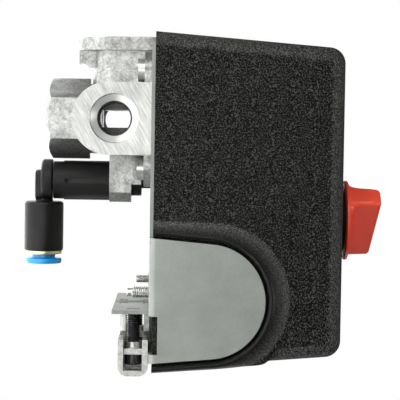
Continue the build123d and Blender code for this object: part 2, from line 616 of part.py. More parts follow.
with BuildPart() as terminal_screws:
    for y in (-POLE_OUTER_Y, -POLE_INNER_Y, POLE_INNER_Y, POLE_OUTER_Y):
        shank_r, head_r, head_height = TERMINAL_SCREW
        seat = block_top + STRIP_THICK
        rod(up(TIP_X + 1, y, seat - 4), shank_r, 4)
        rod(up(TIP_X + 1, y, seat), head_r, head_height)
        slot_z = (seat + head_height - SLOT_DEPTH, seat + head_height)
        slot_x = (TIP_X + 1 - head_r, TIP_X + 1 + head_r)
        block(slot_x, (y - SLOT_WIDTH / 2, y + SLOT_WIDTH / 2), slot_z, Mode.SUBTRACT)
save("terminal_screws", terminal_screws)

with BuildPart() as contact_carrier:
    carrier_top = CARRIER_Z + CARRIER_THICK
    block((TIP_X - 3, TIP_X + 3), (-BLOCK_FOOT_Y + 1, BLOCK_FOOT_Y - 1), (CARRIER_Z, carrier_top))
    ledge_y = (-ROCKER_TIP_HALF_Y, ROCKER_TIP_HALF_Y)
    block((ROCKER_TIP_X - 4, TIP_X - 2), ledge_y, (CARRIER_Z, ROCKER_Z - WORK_GAP))
save("contact_carrier", contact_carrier)

with BuildPart() as moving_contacts:
    for side in (-1, 1):
        strip_y = sorted((side * (POLE_INNER_Y - 2), side * (POLE_OUTER_Y + 2)))
        block((TIP_X - 2, TIP_X + 2), strip_y, (carrier_top, carrier_top + STRIP_THICK))
save("moving_contacts", moving_contacts)

with BuildPart() as contact_springs:
    for side in (-1, 1):
        spring_y = side * (POLE_INNER_Y + POLE_OUTER_Y) / 2
        coil_sleeve(TIP_X, spring_y, COVER_Z + 0.05, CARRIER_Z - 0.05, 2.4, 0.6, 4)
save("contact_springs", contact_springs)

with BuildPart() as block_screw:
    shank_r, head_r, head_height = BLOCK_SCREW
    tip_z = PLATE_Z - SCREW_BELOW_PLATE
    rod(up(SCREW_ROW_X, BLOCK_SCREW_Y, tip_z), shank_r, block_top - tip_z)
    rod(up(SCREW_ROW_X, BLOCK_SCREW_Y, block_top), head_r - 1, head_height)
save("block_screw", block_screw)

with BuildPart() as earth_screw:
    shank_r, head_r, head_height = EARTH_SCREW
    head_z = COVER_Z + EARTH_CLAMP_THICK
    rod(up(SCREW_ROW_X, EARTH_Y, tip_z), shank_r, head_z - tip_z + head_height / 2)
    rod(up(SCREW_ROW_X, EARTH_Y, tip_z - EARTH_TIP), shank_r - EARTH_TIP_STEP, EARTH_TIP + 0.2)
    rod(up(SCREW_ROW_X, EARTH_Y, head_z), head_r, head_height)
    cross_z = (head_z + head_height - SLOT_DEPTH, head_z + head_height)
    cross_x = (SCREW_ROW_X - head_r, SCREW_ROW_X + head_r)
    block(cross_x, (EARTH_Y - SLOT_WIDTH / 2, EARTH_Y + SLOT_WIDTH / 2), cross_z, Mode.SUBTRACT)
save("earth_screw", earth_screw)

with BuildPart() as earth_clamp:
    earth_x = (SCREW_ROW_X - head_r, SCREW_ROW_X + head_r)
    block(earth_x, (EARTH_Y - head_r, EARTH_Y + head_r), (COVER_Z, head_z))
    rod(up(SCREW_ROW_X, EARTH_Y, COVER_Z - 1), shank_r + SCREW_CLEARANCE, 4, Mode.SUBTRACT)
save("earth_clamp", earth_clamp)

# ---------------------------------------------------------------- cover
with BuildPart() as cover_core:
    centre_x = (COVER_LOW_X + COVER_HIGH_X) / 2
    length = COVER_HIGH_X - COVER_LOW_X
    with BuildSketch(up(centre_x, 0, COVER_Z)):
        RectangleRounded(length, 2 * COVER_HALF_Y, COVER_EDGE_R)
    with BuildSketch(up(centre_x, 0, COVER_TOP_Z)):
        RectangleRounded(length - 2 * COVER_DRAFT_X, 2 * (COVER_HALF_Y - COVER_DRAFT_Y), COVER_EDGE_R)
    loft()
    fillet(cover_core.faces().sort_by(Axis.Z)[-1].edges(), COVER_EDGE_R - 0.2)

with BuildPart() as pod:
    front = Plane((0, POD_FACE_Y, 0), x_dir=(1, 0, 0), z_dir=(0, -1, 0))
    crest = flap_face(front, FLAP_GAP + POD_RIM)
    foot = flap_face(front.offset(POD_FACE_Y - COVER_HALF_Y + COVER_DRAFT_Y), FLAP_GAP + POD_FOOT)
    loft([crest, foot])
    above = (COVER_Z, COVER_TOP_Z)
    block((COVER_LOW_X, COVER_HIGH_X + 0.7), (0, POD_FACE_Y), above, Mode.INTERSECT)

with BuildPart() as cover:
    add(cover_core.part)
    add(pod.part)
    mirror(pod.part, about=Plane.XZ)
    rod(up(KNOB_X, 0, COVER_TOP_Z - 1), KNOB_BOSS_R, 1 + KNOB_BOSS_HEIGHT)
    # hollow inside, one wall thinner all round
    with BuildSketch(up(centre_x, 0, COVER_Z)):
        RectangleRounded(length - 2 * COVER_WALL, 2 * (COVER_HALF_Y - COVER_WALL), COVER_EDGE_R - COVER_WALL)
    with BuildSketch(up(centre_x, 0, COVER_TOP_Z - COVER_WALL)):
        hollow_length = length - 2 * COVER_DRAFT_X - 2 * COVER_WALL
        hollow_width = 2 * (COVER_HALF_Y - COVER_DRAFT_Y - COVER_WALL)
        RectangleRounded(hollow_length, hollow_width, COVER_EDGE_R - COVER_WALL)
    loft(mode=Mode.SUBTRACT)
    # pockets that the flaps stand in
    for side in (-1, 1):
        outside = Plane((0, side * (POD_FACE_Y + 1), 0), x_dir=(1, 0, 0), z_dir=(0, -1, 0))
        pocket = flap_face(outside, FLAP_GAP)
        pocket_depth = POD_FACE_Y + 1 - (FLAP_FACE_Y - BEND_R - POCKET_CLEARANCE)
        extrude(pocket, amount=side * pocket_depth, mode=Mode.SUBTRACT)
    shaft_hole_height = 2 * COVER_WALL + KNOB_BOSS_HEIGHT
    shaft_hole = up(KNOB_X, 0, COVER_TOP_Z - 2 * COVER_WALL)
    rod(shaft_hole, CAM_SHAFT_R + SHAFT_CLEARANCE, shaft_hole_height, Mode.SUBTRACT)
    boss_z = POST_TOP_Z + WORK_GAP
    rod(up(POST_X, 0, boss_z), COVER_SCREW[1] + 1.5, COVER_TOP_Z - COVER_WALL / 2 - boss_z)
    rod(up(POST_X, 0, POST_TOP_Z), COVER_SCREW[0] + 0.2, COVER_TOP_Z + 1 - POST_TOP_Z, Mode.SUBTRACT)
save("cover", cover)

with BuildPart() as cover_screw:
    shank_r, head_r, head_height = COVER_SCREW
    rod(up(POST_X, 0, POST_TOP_Z - 6), shank_r, COVER_TOP_Z - POST_TOP_Z + 6)
    rod(up(POST_X, 0, COVER_TOP_Z), head_r, head_height)
    slot_z = (COVER_TOP_Z + head_height - SLOT_DEPTH, COVER_TOP_Z + head_height)
    cross_y = (-SLOT_WIDTH / 2, SLOT_WIDTH / 2)
    block((POST_X - head_r, POST_X + head_r), cross_y, slot_z, Mode.SUBTRACT)
save("cover_screw", cover_screw)

with BuildPart() as cover_post:
    with BuildSketch(up(POST_X, 0, COVER_Z)):
        RegularPolygon(POST_FLATS / 2, 6, major_radius=False, rotation=30)
    extrude(amount=POST_TOP_Z - COVER_Z)
    rod(up(POST_X, 0, POST_TOP_Z - 8), COVER_SCREW[0] + SCREW_CLEARANCE, 10, Mode.SUBTRACT)
save("cover_post", cover_post)

# ---------------------------------------------------------------- knob and cam shaft
with BuildPart() as knob:
    rod(up(KNOB_X, 0, KNOB_LOW_Z), KNOB_DISC_R, KNOB_DISC_THICK)
    with BuildSketch(up(KNOB_X, 0, KNOB_LOW_Z + KNOB_DISC_THICK)):
        Circle(KNOB_DISC_R - 1)
    with BuildSketch(up(KNOB_X, 0, KNOB_TOP_Z - 5.5)):
        Circle(KNOB_HUB_R)
    loft()
    grip_x = (cos(radians(GRIP_TURN)), sin(radians(GRIP_TURN)), 0)
    grip_plane = Plane((KNOB_X, 0, KNOB_LOW_Z), x_dir=grip_x, z_dir=(0, 0, 1))
    with BuildSketch(grip_plane):
        RectangleRounded(GRIP_LENGTH, GRIP_THICK, 2.5)
    extrude(amount=KNOB_TOP_Z - KNOB_LOW_Z)
    # the grip's top falls away from its near end
    tilt = radians(KNOB_TOP_TILT)
    fall = (sin(tilt) * grip_x[0], sin(tilt) * grip_x[1], cos(tilt))
    high_z = KNOB_TOP_Z - GRIP_LENGTH / 2 * tan(tilt)
    split(bisect_by=Plane((KNOB_X, 0, high_z), z_dir=fall), keep=Keep.BOTTOM)
    top_rim = knob.faces().sort_by(Axis.Z)[-1].edges()
    chamfer(top_rim, KNOB_TOP_CHAMFER)
    rod(up(KNOB_X, 0, KNOB_LOW_Z - 1), CAM_SHAFT_R + 0.02, CAM_SHAFT_TOP_Z - KNOB_LOW_Z + 1.2, Mode.SUBTRACT)
save("knob", knob)

with BuildPart() as knob_cam:
    cam_low = ROCKER_TOP_Z + WORK_GAP + CAM_LOBE
    rod(up(KNOB_X, 0, cam_low), CAM_R, CAM_THICK)
    rod(up(KNOB_X, 0, cam_low), CAM_SHAFT_R, CAM_SHAFT_TOP_Z - cam_low)
    with BuildSketch(up(KNOB_X, 0, cam_low - CAM_LOBE)):
        Circle(CAM_R)
        with Locations((CAM_R, 0)):
            Rectangle(2 * CAM_R, 2 * CAM_R, mode=Mode.SUBTRACT)
    extrude(amount=CAM_LOBE)
save("knob_cam", knob_cam)

# ---------------------------------------------------------------- unloader valve
with BuildPart() as unloader_body:
    rod(up(VALVE_X, 0, VALVE_LOW_Z), VALVE_SKIRT_R, VALVE_SKIRT_Z - VALVE_LOW_Z)
    rod(up(VALVE_X, 0, VALVE_SKIRT_Z), VALVE_R, VALVE_TOP_Z - VALVE_SKIRT_Z - 0.05)
    rod(up(VALVE_X, 0, VALVE_TOP_Z - 1), VALVE_SPIGOT_R, VALVE_SPIGOT_TOP_Z - VALVE_TOP_Z + 1)
    socket_depth = ELBOW_SPIGOT_TOP_Z - VALVE_LOW_Z + 1.5
    rod(up(VALVE_X, 0, VALVE_LOW_Z - 1), ELBOW_SPIGOT_R + 0.08, socket_depth, Mode.SUBTRACT)
    rod(up(VALVE_X, 0, VALVE_LOW_Z), PLUNGER_ROD_R, VALVE_TOP_Z, Mode.SUBTRACT)
    rod(up(VALVE_X, 0, CHAMBER_LOW_Z), CHAMBER_R, CHAMBER_HEIGHT, Mode.SUBTRACT)
    rod(up(VALVE_X, 0, CHAMBER_LOW_Z), PLUNGER_ROD_R + 0.6, VALVE_TOP_Z, Mode.SUBTRACT)
    rod(along_y(VALVE_X, -VALVE_R - 1, VENT_Z), VENT_R, 3, Mode.SUBTRACT)
save("unloader_body", unloader_body)

with BuildPart() as unloader_plunger:
    cap_top = PLUNGER_CAP_Z + PLUNGER_CAP_HEIGHT
    rod(up(VALVE_X, 0, VALVE_SEAL_Z - 0.2), PLUNGER_ROD_R, PLUNGER_CAP_Z - VALVE_SEAL_Z + 0.2)
    rod(up(VALVE_X, 0, PLUNGER_CAP_Z), PLUNGER_CAP_R, PLUNGER_CAP_HEIGHT)
    rod(up(VALVE_X, 0, cap_top), PLUNGER_STEM_R, ROCKER_Z - WORK_GAP - cap_top)
save("unloader_plunger", unloader_plunger)

with BuildPart() as unloader_seal:
    rod(up(VALVE_X, 0, VALVE_SEAL_Z), VALVE_SEAL_R, VALVE_SEAL_THICK)
    rod(up(VALVE_X, 0, VALVE_SEAL_Z), PLUNGER_ROD_R + 0.02, VALVE_SEAL_THICK, Mode.SUBTRACT)
save("unloader_seal", unloader_seal)

with BuildPart() as unloader_spring:
    spring_top = VALVE_SEAL_Z - 0.2
    coil_sleeve(VALVE_X, 0, CHAMBER_LOW_Z + SCREW_CLEARANCE, spring_top, VALVE_SPRING_R, VALVE_SPRING_WIRE, 3)
save("unloader_spring", unloader_spring)

# ---------------------------------------------------------------- push-in elbow
with BuildPart() as elbow_body:
    rod(up(VALVE_X, 0, ELBOW_HUB_LOW_Z), ELBOW_HUB_R, ELBOW_HUB_TOP_Z - ELBOW_HUB_LOW_Z)
    rod(up(VALVE_X, 0, ELBOW_HUB_TOP_Z - 1), ELBOW_SPIGOT_R, ELBOW_SPIGOT_TOP_Z - ELBOW_HUB_TOP_Z + 1)
    rod(along_x(ELBOW_ARM_BACK_X, 0, ELBOW_AXIS_Z), ELBOW_ARM_R, BARREL_LOW_X - ELBOW_ARM_BACK_X + 1)
    rod(along_x(BARREL_LOW_X, 0, ELBOW_AXIS_Z), BARREL_R, BARREL_HIGH_X - BARREL_LOW_X)
    ends = elbow_body.edges().filter_by(GeomType.CIRCLE)
    barrel_back = ends.filter_by(lambda edge: abs(edge.radius - BARREL_R) < 0.01).sort_by(Axis.X)[0]
    chamfer(barrel_back, BARREL_CHAMFER)
    bore_x = BARREL_HIGH_X - BARREL_BORE_DEPTH
    rod(along_x(bore_x, 0, ELBOW_AXIS_Z), BARREL_BORE_R, BARREL_BORE_DEPTH, Mode.SUBTRACT)
    rod(along_x(bore_x - 2, 0, ELBOW_AXIS_Z), TUBE_BORE_R, 4, Mode.SUBTRACT)
    rod(along_x(VALVE_X, 0, ELBOW_AXIS_Z), ELBOW_BORE_R, bore_x - VALVE_X, Mode.SUBTRACT)
    rod(up(VALVE_X, 0, ELBOW_AXIS_Z), ELBOW_BORE_R, ELBOW_SPIGOT_TOP_Z - ELBOW_AXIS_Z, Mode.SUBTRACT)
    rod(up(VALVE_X, 0, SEAL_GROOVE_Z), ELBOW_SPIGOT_R + 1, SEAL_GROOVE_HEIGHT, Mode.SUBTRACT)
    rod(up(VALVE_X, 0, SEAL_GROOVE_Z - 0.1), ELBOW_SPIGOT_R - SEAL_GROOVE_DEPTH, SEAL_GROOVE_HEIGHT + 0.2)
    rod(up(VALVE_X, 0, ELBOW_AXIS_Z), ELBOW_BORE_R, ELBOW_SPIGOT_TOP_Z - ELBOW_AXIS_Z, Mode.SUBTRACT)
save("elbow_body", elbow_body)

with BuildPart() as elbow_seal:
    with BuildSketch(Plane((VALVE_X, 0, 0), x_dir=(1, 0, 0), z_dir=(0, -1, 0))):
        with Locations((ELBOW_SPIGOT_R - SEAL_GROOVE_DEPTH / 2, SEAL_GROOVE_Z + SEAL_GROOVE_HEIGHT / 2)):
            Circle(SEAL_WIRE_R)
    revolve(axis=Axis((VALVE_X, 0, 0), (0, 0, 1)))
save("elbow_seal", elbow_seal)

with BuildPart() as fitting_ring:
    rod(along_x(BARREL_HIGH_X + 0.02, 0, ELBOW_AXIS_Z), RING_R, RING_FACE_X - BARREL_HIGH_X - 0.02)
    rod(along_x(BARREL_HIGH_X - 4, 0, ELBOW_AXIS_Z), BARREL_BORE_R - 0.05, 4.2)
    rod(along_x(BARREL_HIGH_X - 5, 0, ELBOW_AXIS_Z), RELEASE_NECK_R + 0.08, 8, Mode.SUBTRACT)
save("fitting_ring", fitting_ring)

with BuildPart() as grip_ring:
    rod(along_x(GRIP_RING_X, 0, ELBOW_AXIS_Z), BARREL_BORE_R - 0.2, GRIP_RING_THICK)
    rod(along_x(GRIP_RING_X, 0, ELBOW_AXIS_Z), TUBE_BORE_R + 0.15, GRIP_RING_THICK, Mode.SUBTRACT)
save("grip_ring", grip_ring)

with BuildPart() as tube_seal:
    rod(along_x(TUBE_SEAL_X, 0, ELBOW_AXIS_Z), BARREL_BORE_R - 0.1, TUBE_SEAL_THICK)
    rod(along_x(TUBE_SEAL_X, 0, ELBOW_AXIS_Z), TUBE_BORE_R + 0.05, TUBE_SEAL_THICK, Mode.SUBTRACT)
save("tube_seal", tube_seal)

with BuildPart() as release_collar:
    rod(along_x(RELEASE_BACK_X, 0, ELBOW_AXIS_Z), RELEASE_NECK_R, RELEASE_END_X - RELEASE_BACK_X)
    rod(along_x(RELEASE_FLANGE_X, 0, ELBOW_AXIS_Z), RELEASE_FLANGE_R, RELEASE_END_X - RELEASE_FLANGE_X)
    rod(along_x(RELEASE_BACK_X - 1, 0, ELBOW_AXIS_Z), TUBE_BORE_R, 10, Mode.SUBTRACT)
save("release_collar", release_collar)

# ---------------------------------------------------------------- cable clamps
for side, name in ((-1, "front"), (1, "rear")):
    with BuildPart() as clamp_strap:
        # a U channel along Y, open towards the shelf
        low_z = CLAMP_AXIS_Z - STRAP_HALF_Z
        high_z = CLAMP_AXIS_Z + STRAP_HALF_Z
        outer_x = (SHELF_X + 0.2, STRAP_BACK_X)
        block(outer_x, sorted((side * STRAP_INNER_Y, side * STRAP_OUTER_Y)), (low_z, high_z))
        back_edges = clamp_strap.edges().filter_by(Axis.Y).sort_by(Axis.X)[-2:]
        fillet(back_edges, STRAP_CORNER_R)
        inner_z = (low_z + STRAP_SHEET, high_z - STRAP_SHEET)
        open_y = sorted((side * (STRAP_INNER_Y - 1), side * (STRAP_OUTER_Y + 1)))
        block((SHELF_X - 1, STRAP_BACK_X - STRAP_SHEET), open_y, inner_z, Mode.SUBTRACT)
        # the arms stop short of the cable, except at the hook
        short_y = sorted((side * (STRAP_INNER_Y + HOOK_WIDTH), side * (STRAP_OUTER_Y + 1)))
        block((SHELF_X - 1, STRAP_ARM_X), short_y, (low_z - 1, high_z + 1), Mode.SUBTRACT)
        rod(up(STRAP_ARM_X - 2, side * CABLE_Y, low_z - 1), CABLE_R, 2 * STRAP_HALF_Z + 2, Mode.SUBTRACT)
        driver_hole = along_x(STRAP_BACK_X - 3, side * CLAMP_SCREW_Y, CLAMP_AXIS_Z)
        rod(driver_hole, CLAMP_HEAD_R - 0.4, 5, Mode.SUBTRACT)
    save(f"strap_{name}", clamp_strap)

    with BuildPart() as clamp_saddle:
        saddle_y = sorted((side * (CLAMP_SCREW_Y - 4), side * (CLAMP_SCREW_Y + 4)))
        half_z = STRAP_HALF_Z - STRAP_SHEET
        saddle_z = (CLAMP_AXIS_Z - half_z, CLAMP_AXIS_Z + half_z)
        block((SADDLE_X - SADDLE_THICK, SADDLE_X), saddle_y, saddle_z)
        with BuildSketch(along_x(SADDLE_X - SADDLE_THICK, side * CLAMP_SCREW_Y, CLAMP_AXIS_Z)):
            Circle(CLAMP_SCREW_R + 0.8)
        with BuildSketch(along_x(SADDLE_X - 2 * SADDLE_THICK, side * CLAMP_SCREW_Y, CLAMP_AXIS_Z)):
            Circle(CLAMP_SCREW_R + 0.5)
        loft()
        through = along_x(SADDLE_X - 3 * SADDLE_THICK, side * CLAMP_SCREW_Y, CLAMP_AXIS_Z)
        rod(through, CLAMP_SCREW_R + 0.08, 4 * SADDLE_THICK, Mode.SUBTRACT)
    save(f"saddle_{name}", clamp_saddle)

    with BuildPart() as clamp_screw:
        screw_start = along_x(SHELF_X + 0.1, side * CLAMP_SCREW_Y, CLAMP_AXIS_Z)
        rod(screw_start, CLAMP_SCREW_R, SADDLE_X + 0.5 - SHELF_X)
        rod(along_x(SADDLE_X + 0.1, side * CLAMP_SCREW_Y, CLAMP_AXIS_Z), CLAMP_HEAD_R, CLAMP_HEAD_HEIGHT)
        slot_x = (SADDLE_X + 0.1 + CLAMP_HEAD_HEIGHT - SLOT_DEPTH, SADDLE_X + CLAMP_HEAD_HEIGHT + 1)
        slot_y = sorted((side * CLAMP_SCREW_Y - SLOT_WIDTH / 2, side * CLAMP_SCREW_Y + SLOT_WIDTH / 2))
        slot_z = (CLAMP_AXIS_Z - CLAMP_HEAD_R, CLAMP_AXIS_Z + CLAMP_HEAD_R)
        block(slot_x, slot_y, slot_z, Mode.SUBTRACT)
    save(f"clamp_screw_{name}", clamp_screw)
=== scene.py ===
"""Pressure switch: the visible pieces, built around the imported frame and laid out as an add-on."""

import json
import math

import bmesh
import bpy
import numpy as np
from mathutils import Matrix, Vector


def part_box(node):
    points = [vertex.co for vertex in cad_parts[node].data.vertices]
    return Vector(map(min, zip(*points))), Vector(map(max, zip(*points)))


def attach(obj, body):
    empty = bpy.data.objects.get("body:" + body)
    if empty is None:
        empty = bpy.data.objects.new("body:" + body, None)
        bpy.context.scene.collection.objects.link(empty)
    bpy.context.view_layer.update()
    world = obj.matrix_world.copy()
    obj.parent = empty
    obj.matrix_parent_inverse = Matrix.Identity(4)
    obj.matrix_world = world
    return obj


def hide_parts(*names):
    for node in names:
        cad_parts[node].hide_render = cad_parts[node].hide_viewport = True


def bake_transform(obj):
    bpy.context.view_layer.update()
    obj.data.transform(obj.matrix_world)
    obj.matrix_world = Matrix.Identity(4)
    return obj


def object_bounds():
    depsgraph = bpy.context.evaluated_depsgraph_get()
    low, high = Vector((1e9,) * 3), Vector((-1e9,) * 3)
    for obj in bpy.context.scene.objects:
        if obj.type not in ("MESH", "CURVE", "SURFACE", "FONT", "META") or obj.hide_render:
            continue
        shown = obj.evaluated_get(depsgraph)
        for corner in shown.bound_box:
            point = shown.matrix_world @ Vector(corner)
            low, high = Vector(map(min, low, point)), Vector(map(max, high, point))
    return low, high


bl_info = {
    "name": "Pressure Switch",
    "version": (1, 0, 0),
    "blender": (4, 5, 0),
    "location": "3D View > Sidebar > Pressure Switch",
    "description": "Builds the visible pieces of a compressor pressure switch",
    "category": "Mesh",
}

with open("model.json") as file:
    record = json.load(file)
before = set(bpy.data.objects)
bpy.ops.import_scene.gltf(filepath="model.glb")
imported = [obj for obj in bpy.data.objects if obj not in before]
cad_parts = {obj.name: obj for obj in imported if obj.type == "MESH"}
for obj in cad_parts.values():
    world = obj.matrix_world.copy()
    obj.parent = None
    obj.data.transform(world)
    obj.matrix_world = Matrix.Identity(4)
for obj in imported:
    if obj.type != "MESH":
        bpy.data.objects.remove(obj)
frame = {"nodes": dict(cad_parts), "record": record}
CAD_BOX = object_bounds()
MM = 0.001


# ---- places read from the frame
def middle(node):
    """The centre of a node's box, in metres."""
    low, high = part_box(node)
    return np.array((low + high) / 2)


COVER_LOW, COVER_HIGH = (np.array(c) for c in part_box("cover"))
PLATE_TOP = COVER_LOW[2]
FLAP_HIGH = np.array(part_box("base_frame")[1])
KNOB_LOW, KNOB_HIGH = (np.array(c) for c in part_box("knob"))
KNOB_AT = (KNOB_LOW + KNOB_HIGH) / 2
ELBOW_LOW, ELBOW_HIGH = (np.array(c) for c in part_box("elbow_body"))
RING_LOW, RING_HIGH = (np.array(c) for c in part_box("fitting_ring"))
COLLAR_LOW, COLLAR_HIGH = (np.array(c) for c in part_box("release_collar"))

# sizes that the boxes don't give, in millimetres
COVER_END_X = 82.9  # the cover's end wall, at its rim
FLAP_RADIUS = 18.9
FLAP_HALF_BASE = 20.7
SHEET = 1.2
SHAFT_HOLE_R = 3.3
PORT_REACH = 28.0  # from the tank port's axis to the face of each level port
PORT_Z = 23.8  # height of the level ports' axes
PORT_WALL_R = 5.8  # just outside the roots of the ports' threads
COUNTERSINK_R = 7.9

MERGE = 2e-6  # points of a CAD mesh nearer than this, in metres, are one point


# ---- surfaces as arrays
def grid_faces(rows, columns, close_rows, close_columns, start=0):
    """Quads of a grid: each joins a point and the next in its row to the two above them."""
    i = np.arange(rows if close_rows else rows - 1)
    j = np.arange(columns if close_columns else columns - 1)
    i, j = np.meshgrid(i, j, indexing="ij")
    i_next = (i + 1) % rows
    j_next = (j + 1) % columns
    row, next_row = i * columns, i_next * columns
    corners = (row + j, row + j_next, next_row + j_next, next_row + j)
    return start + np.stack([c.ravel() for c in corners], axis=1)


class Surfaces:
    """Grids of points gathered into one mesh, with a number on each point for the finish."""

    def __init__(self):
        self.points = []
        self.faces = []
        self.marks = []
        self.count = 0

    def add(self, grid, close_rows=False, close_columns=False, cap_ends=False, mark=0.0):
        """Adds a grid of points; cap_ends closes the first and last row with one face each."""
        rows, columns = grid.shape[:2]
        faces = grid_faces(rows, columns, close_rows, close_columns, self.count).tolist()
        if cap_ends:
            first = self.count + np.arange(columns)
            faces.append(first[::-1].tolist())
            faces.append((first + (rows - 1) * columns).tolist())
        self.points.append(grid.reshape(-1, 3))
        self.faces.extend(faces)
        self.marks.append(np.broadcast_to(mark, (rows, columns)).ravel())
        self.count += rows * columns
        return self

    def turn(self, outline, origin, axis="z", segments=96, hollow=False):
        """Adds a turned outline, closed by a face at each end or, where hollow, round in a ring."""
        grid = lathe(outline, origin, axis, segments)
        return self.add(grid, close_rows=hollow, close_columns=True, cap_ends=not hollow)

    def make(self, name, sharp=30.0):
        """The mesh object: doubles merged, faces turned outwards, smooth up to the sharp angle."""
        mesh = bpy.data.meshes.new(name)
        mesh.from_pydata(np.concatenate(self.points), [], self.faces)
        layer = mesh.attributes.new("mark", "FLOAT", "POINT")
        layer.data.foreach_set("value", np.concatenate(self.marks).astype(np.float32))
        tidy_mesh(mesh, weld=1e-7)
        shade(mesh, sharp)
        return shown(name, mesh)


def shown(name, data):
    """A mesh, light or camera as an object of the scene."""
    obj = bpy.data.objects.new(name, data)
    bpy.context.scene.collection.objects.link(obj)
    return obj


def tidy_mesh(mesh, weld, flat=None):
    """Merges doubled points, turns the faces outwards, and first joins the faces that meet at
    less than flat degrees, when it is given."""
    work = bmesh.new()
    work.from_mesh(mesh)
    bmesh.ops.remove_doubles(work, verts=work.verts, dist=weld)
    bmesh.ops.dissolve_degenerate(work, edges=work.edges, dist=weld)
    if flat is not None:
        limit = math.radians(flat)
        bmesh.ops.dissolve_limit(work, angle_limit=limit, verts=work.verts, edges=work.edges)
    bmesh.ops.recalc_face_normals(work, faces=work.faces)
    work.to_mesh(mesh)
    work.free()


def shade(mesh, sharp):
    """Smooth shading that stays sharp at edges over the given angle in degrees."""
    mesh.polygons.foreach_set("use_smooth", np.ones(len(mesh.polygons), bool))
    mesh.set_sharp_from_angle(angle=math.radians(sharp))


def rounded(corners, radii, steps=5, closed=True):
    """An outline whose corners are rounded: at each, a circle's arc touches both sides at a
    distance radius * tan(half the turn), and steps points follow it."""
    corners = np.asarray(corners, float)
    out = []
    for k, (corner, radius) in enumerate(zip(corners, radii)):
        before = corners[k - 1]
        after = corners[(k + 1) % len(corners)]
        if radius <= 0 or (not closed and k in (0, len(corners) - 1)):
            out.append(corner[None])
            continue
        a = (before - corner) / np.linalg.norm(before - corner)
        b = (after - corner) / np.linalg.norm(after - corner)
        half = math.acos(np.clip(a @ b, -1, 1)) / 2
        bisector = (a + b) / np.linalg.norm(a + b)
        centre = corner + bisector * radius / math.sin(half)
        start = corner + a * radius / math.tan(half) - centre
        end = corner + b * radius / math.tan(half) - centre
        sweep = math.pi - 2 * half
        t = np.linspace(0, 1, steps + 1)[:, None]
        arc = (np.sin((1 - t) * sweep) * start + np.sin(t * sweep) * end) / math.sin(sweep)
        out.append(centre + arc)
    return np.concatenate(out)


def on_axis(across, up, along, axis, origin):
    """Points given across, up and along an axis, in millimetres, placed in the frame in metres."""
    order = {"z": (across, up, along), "x": (along, across, up), "y": (up, along, across)}[axis]
    return np.stack(order, axis=-1) * MM + np.asarray(origin)


def pin(radius, low, high, low_rim=0, high_rim=0):
    """The outline of a pin from low to high, open at its axis, with the radii of its two rims."""
    axis = 0.02
    corners = [(axis, low), (radius, low), (radius, high), (axis, high)]
    return rounded(corners, [0, low_rim, high_rim, 0], closed=False)


def lathe(outline, origin, axis="z", segments=96):
    """An outline of (radius, distance along the axis) turned about the axis: each point goes round
    a circle, so across = r cos t and up = r sin t."""
    turn = np.linspace(0, 2 * math.pi, segments, endpoint=False)
    radius = outline[:, 0][:, None]
    along = np.broadcast_to(outline[:, 1][:, None], (len(outline), segments))
    across = radius * np.cos(turn)
    up = radius * np.sin(turn)
    return on_axis(across, up, along, axis, origin)


def thread(radius, depth, pitch, length, origin, axis="z", segments=40, inside=False):
    """A threaded wall: the radius falls from the crest by depth times a clipped triangle wave of
    the distance over the pitch less the turn, and fades to the root at both ends. In a hole the
    same drop is added to the radius instead."""
    rows_per_turn = 8
    rows = int(length / pitch * rows_per_turn) + 1
    along = np.linspace(0, length, rows)
    turn = np.linspace(0, 2 * math.pi, segments, endpoint=False)
    phase = (along[:, None] / pitch - turn[None] / (2 * math.pi)) % 1.0
    wave = np.clip(np.abs(phase - 0.5) * 2.6 - 0.3, 0, 1)
    fade = np.clip(np.minimum(along, length - along) / (0.6 * pitch), 0, 1)[:, None]
    drop = depth * (1 - fade * (1 - wave))
    r = radius + drop if inside else radius - drop
    across = r * np.cos(turn)
    up = r * np.sin(turn)
    along = np.broadcast_to(along[:, None], r.shape)
    return on_axis(across, up, along, axis, origin)


def perimeter(side_points, arc_points):
    """Where the points of a rounded rectangle lie: for each, the corner circle's centre as a share
    of the half sizes, and the direction out of that circle."""
    share = []
    normal = []
    signs = np.array([(1, 1), (-1, 1), (-1, -1), (1, -1)], float)
    for k in range(4):
        turn = math.pi / 2 * (k + np.linspace(0, 1, arc_points + 1))
        share.append(np.repeat(signs[k][None], arc_points + 1, axis=0))
        normal.append(np.stack([np.cos(turn), np.sin(turn)], axis=1))
        t = (np.arange(1, side_points) / side_points)[:, None]
        share.append(signs[k] * (1 - t) + signs[(k + 1) % 4] * t)
        normal.append(np.repeat(normal[-1][-1:], side_points - 1, axis=0))
    return np.concatenate(share), np.concatenate(normal)


def ring(shape, half_x, half_y, radius):
    """A rounded rectangle's points: share * (half size - radius) + direction * radius."""
    share, normal = shape
    return share * (np.array([half_x, half_y]) - radius) + normal * radius


def put(obj, body, material, slot, *nodes):
    """Gives a finished piece its material, the body it rides on and the nodes it stands for."""
    obj.data.materials.clear()
    obj.data.materials.append(material)
    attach(obj, body)
    if nodes:
        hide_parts(*nodes)
    return obj


def softened(node, name, body, material, slot, width, segments=2):
    """A merged copy of a CAD node whose sharp edges are rounded by a bevel of the given width."""
    sharp = 32.0
    mesh = frame["nodes"][node].data.copy()
    mesh.name = name
    tidy_mesh(mesh, MERGE, flat=0.4)
    shade(mesh, sharp)
    obj = shown(name, mesh)
    bevel = obj.modifiers.new("edges", "BEVEL")
    bevel.width = width * MM
    bevel.segments = segments
    bevel.limit_method = "ANGLE"
    bevel.angle_limit = math.radians(sharp)
    bevel.harden_normals = True
    bevel.miter_outer = "MITER_ARC"
    return put(obj, body, material, slot, node)


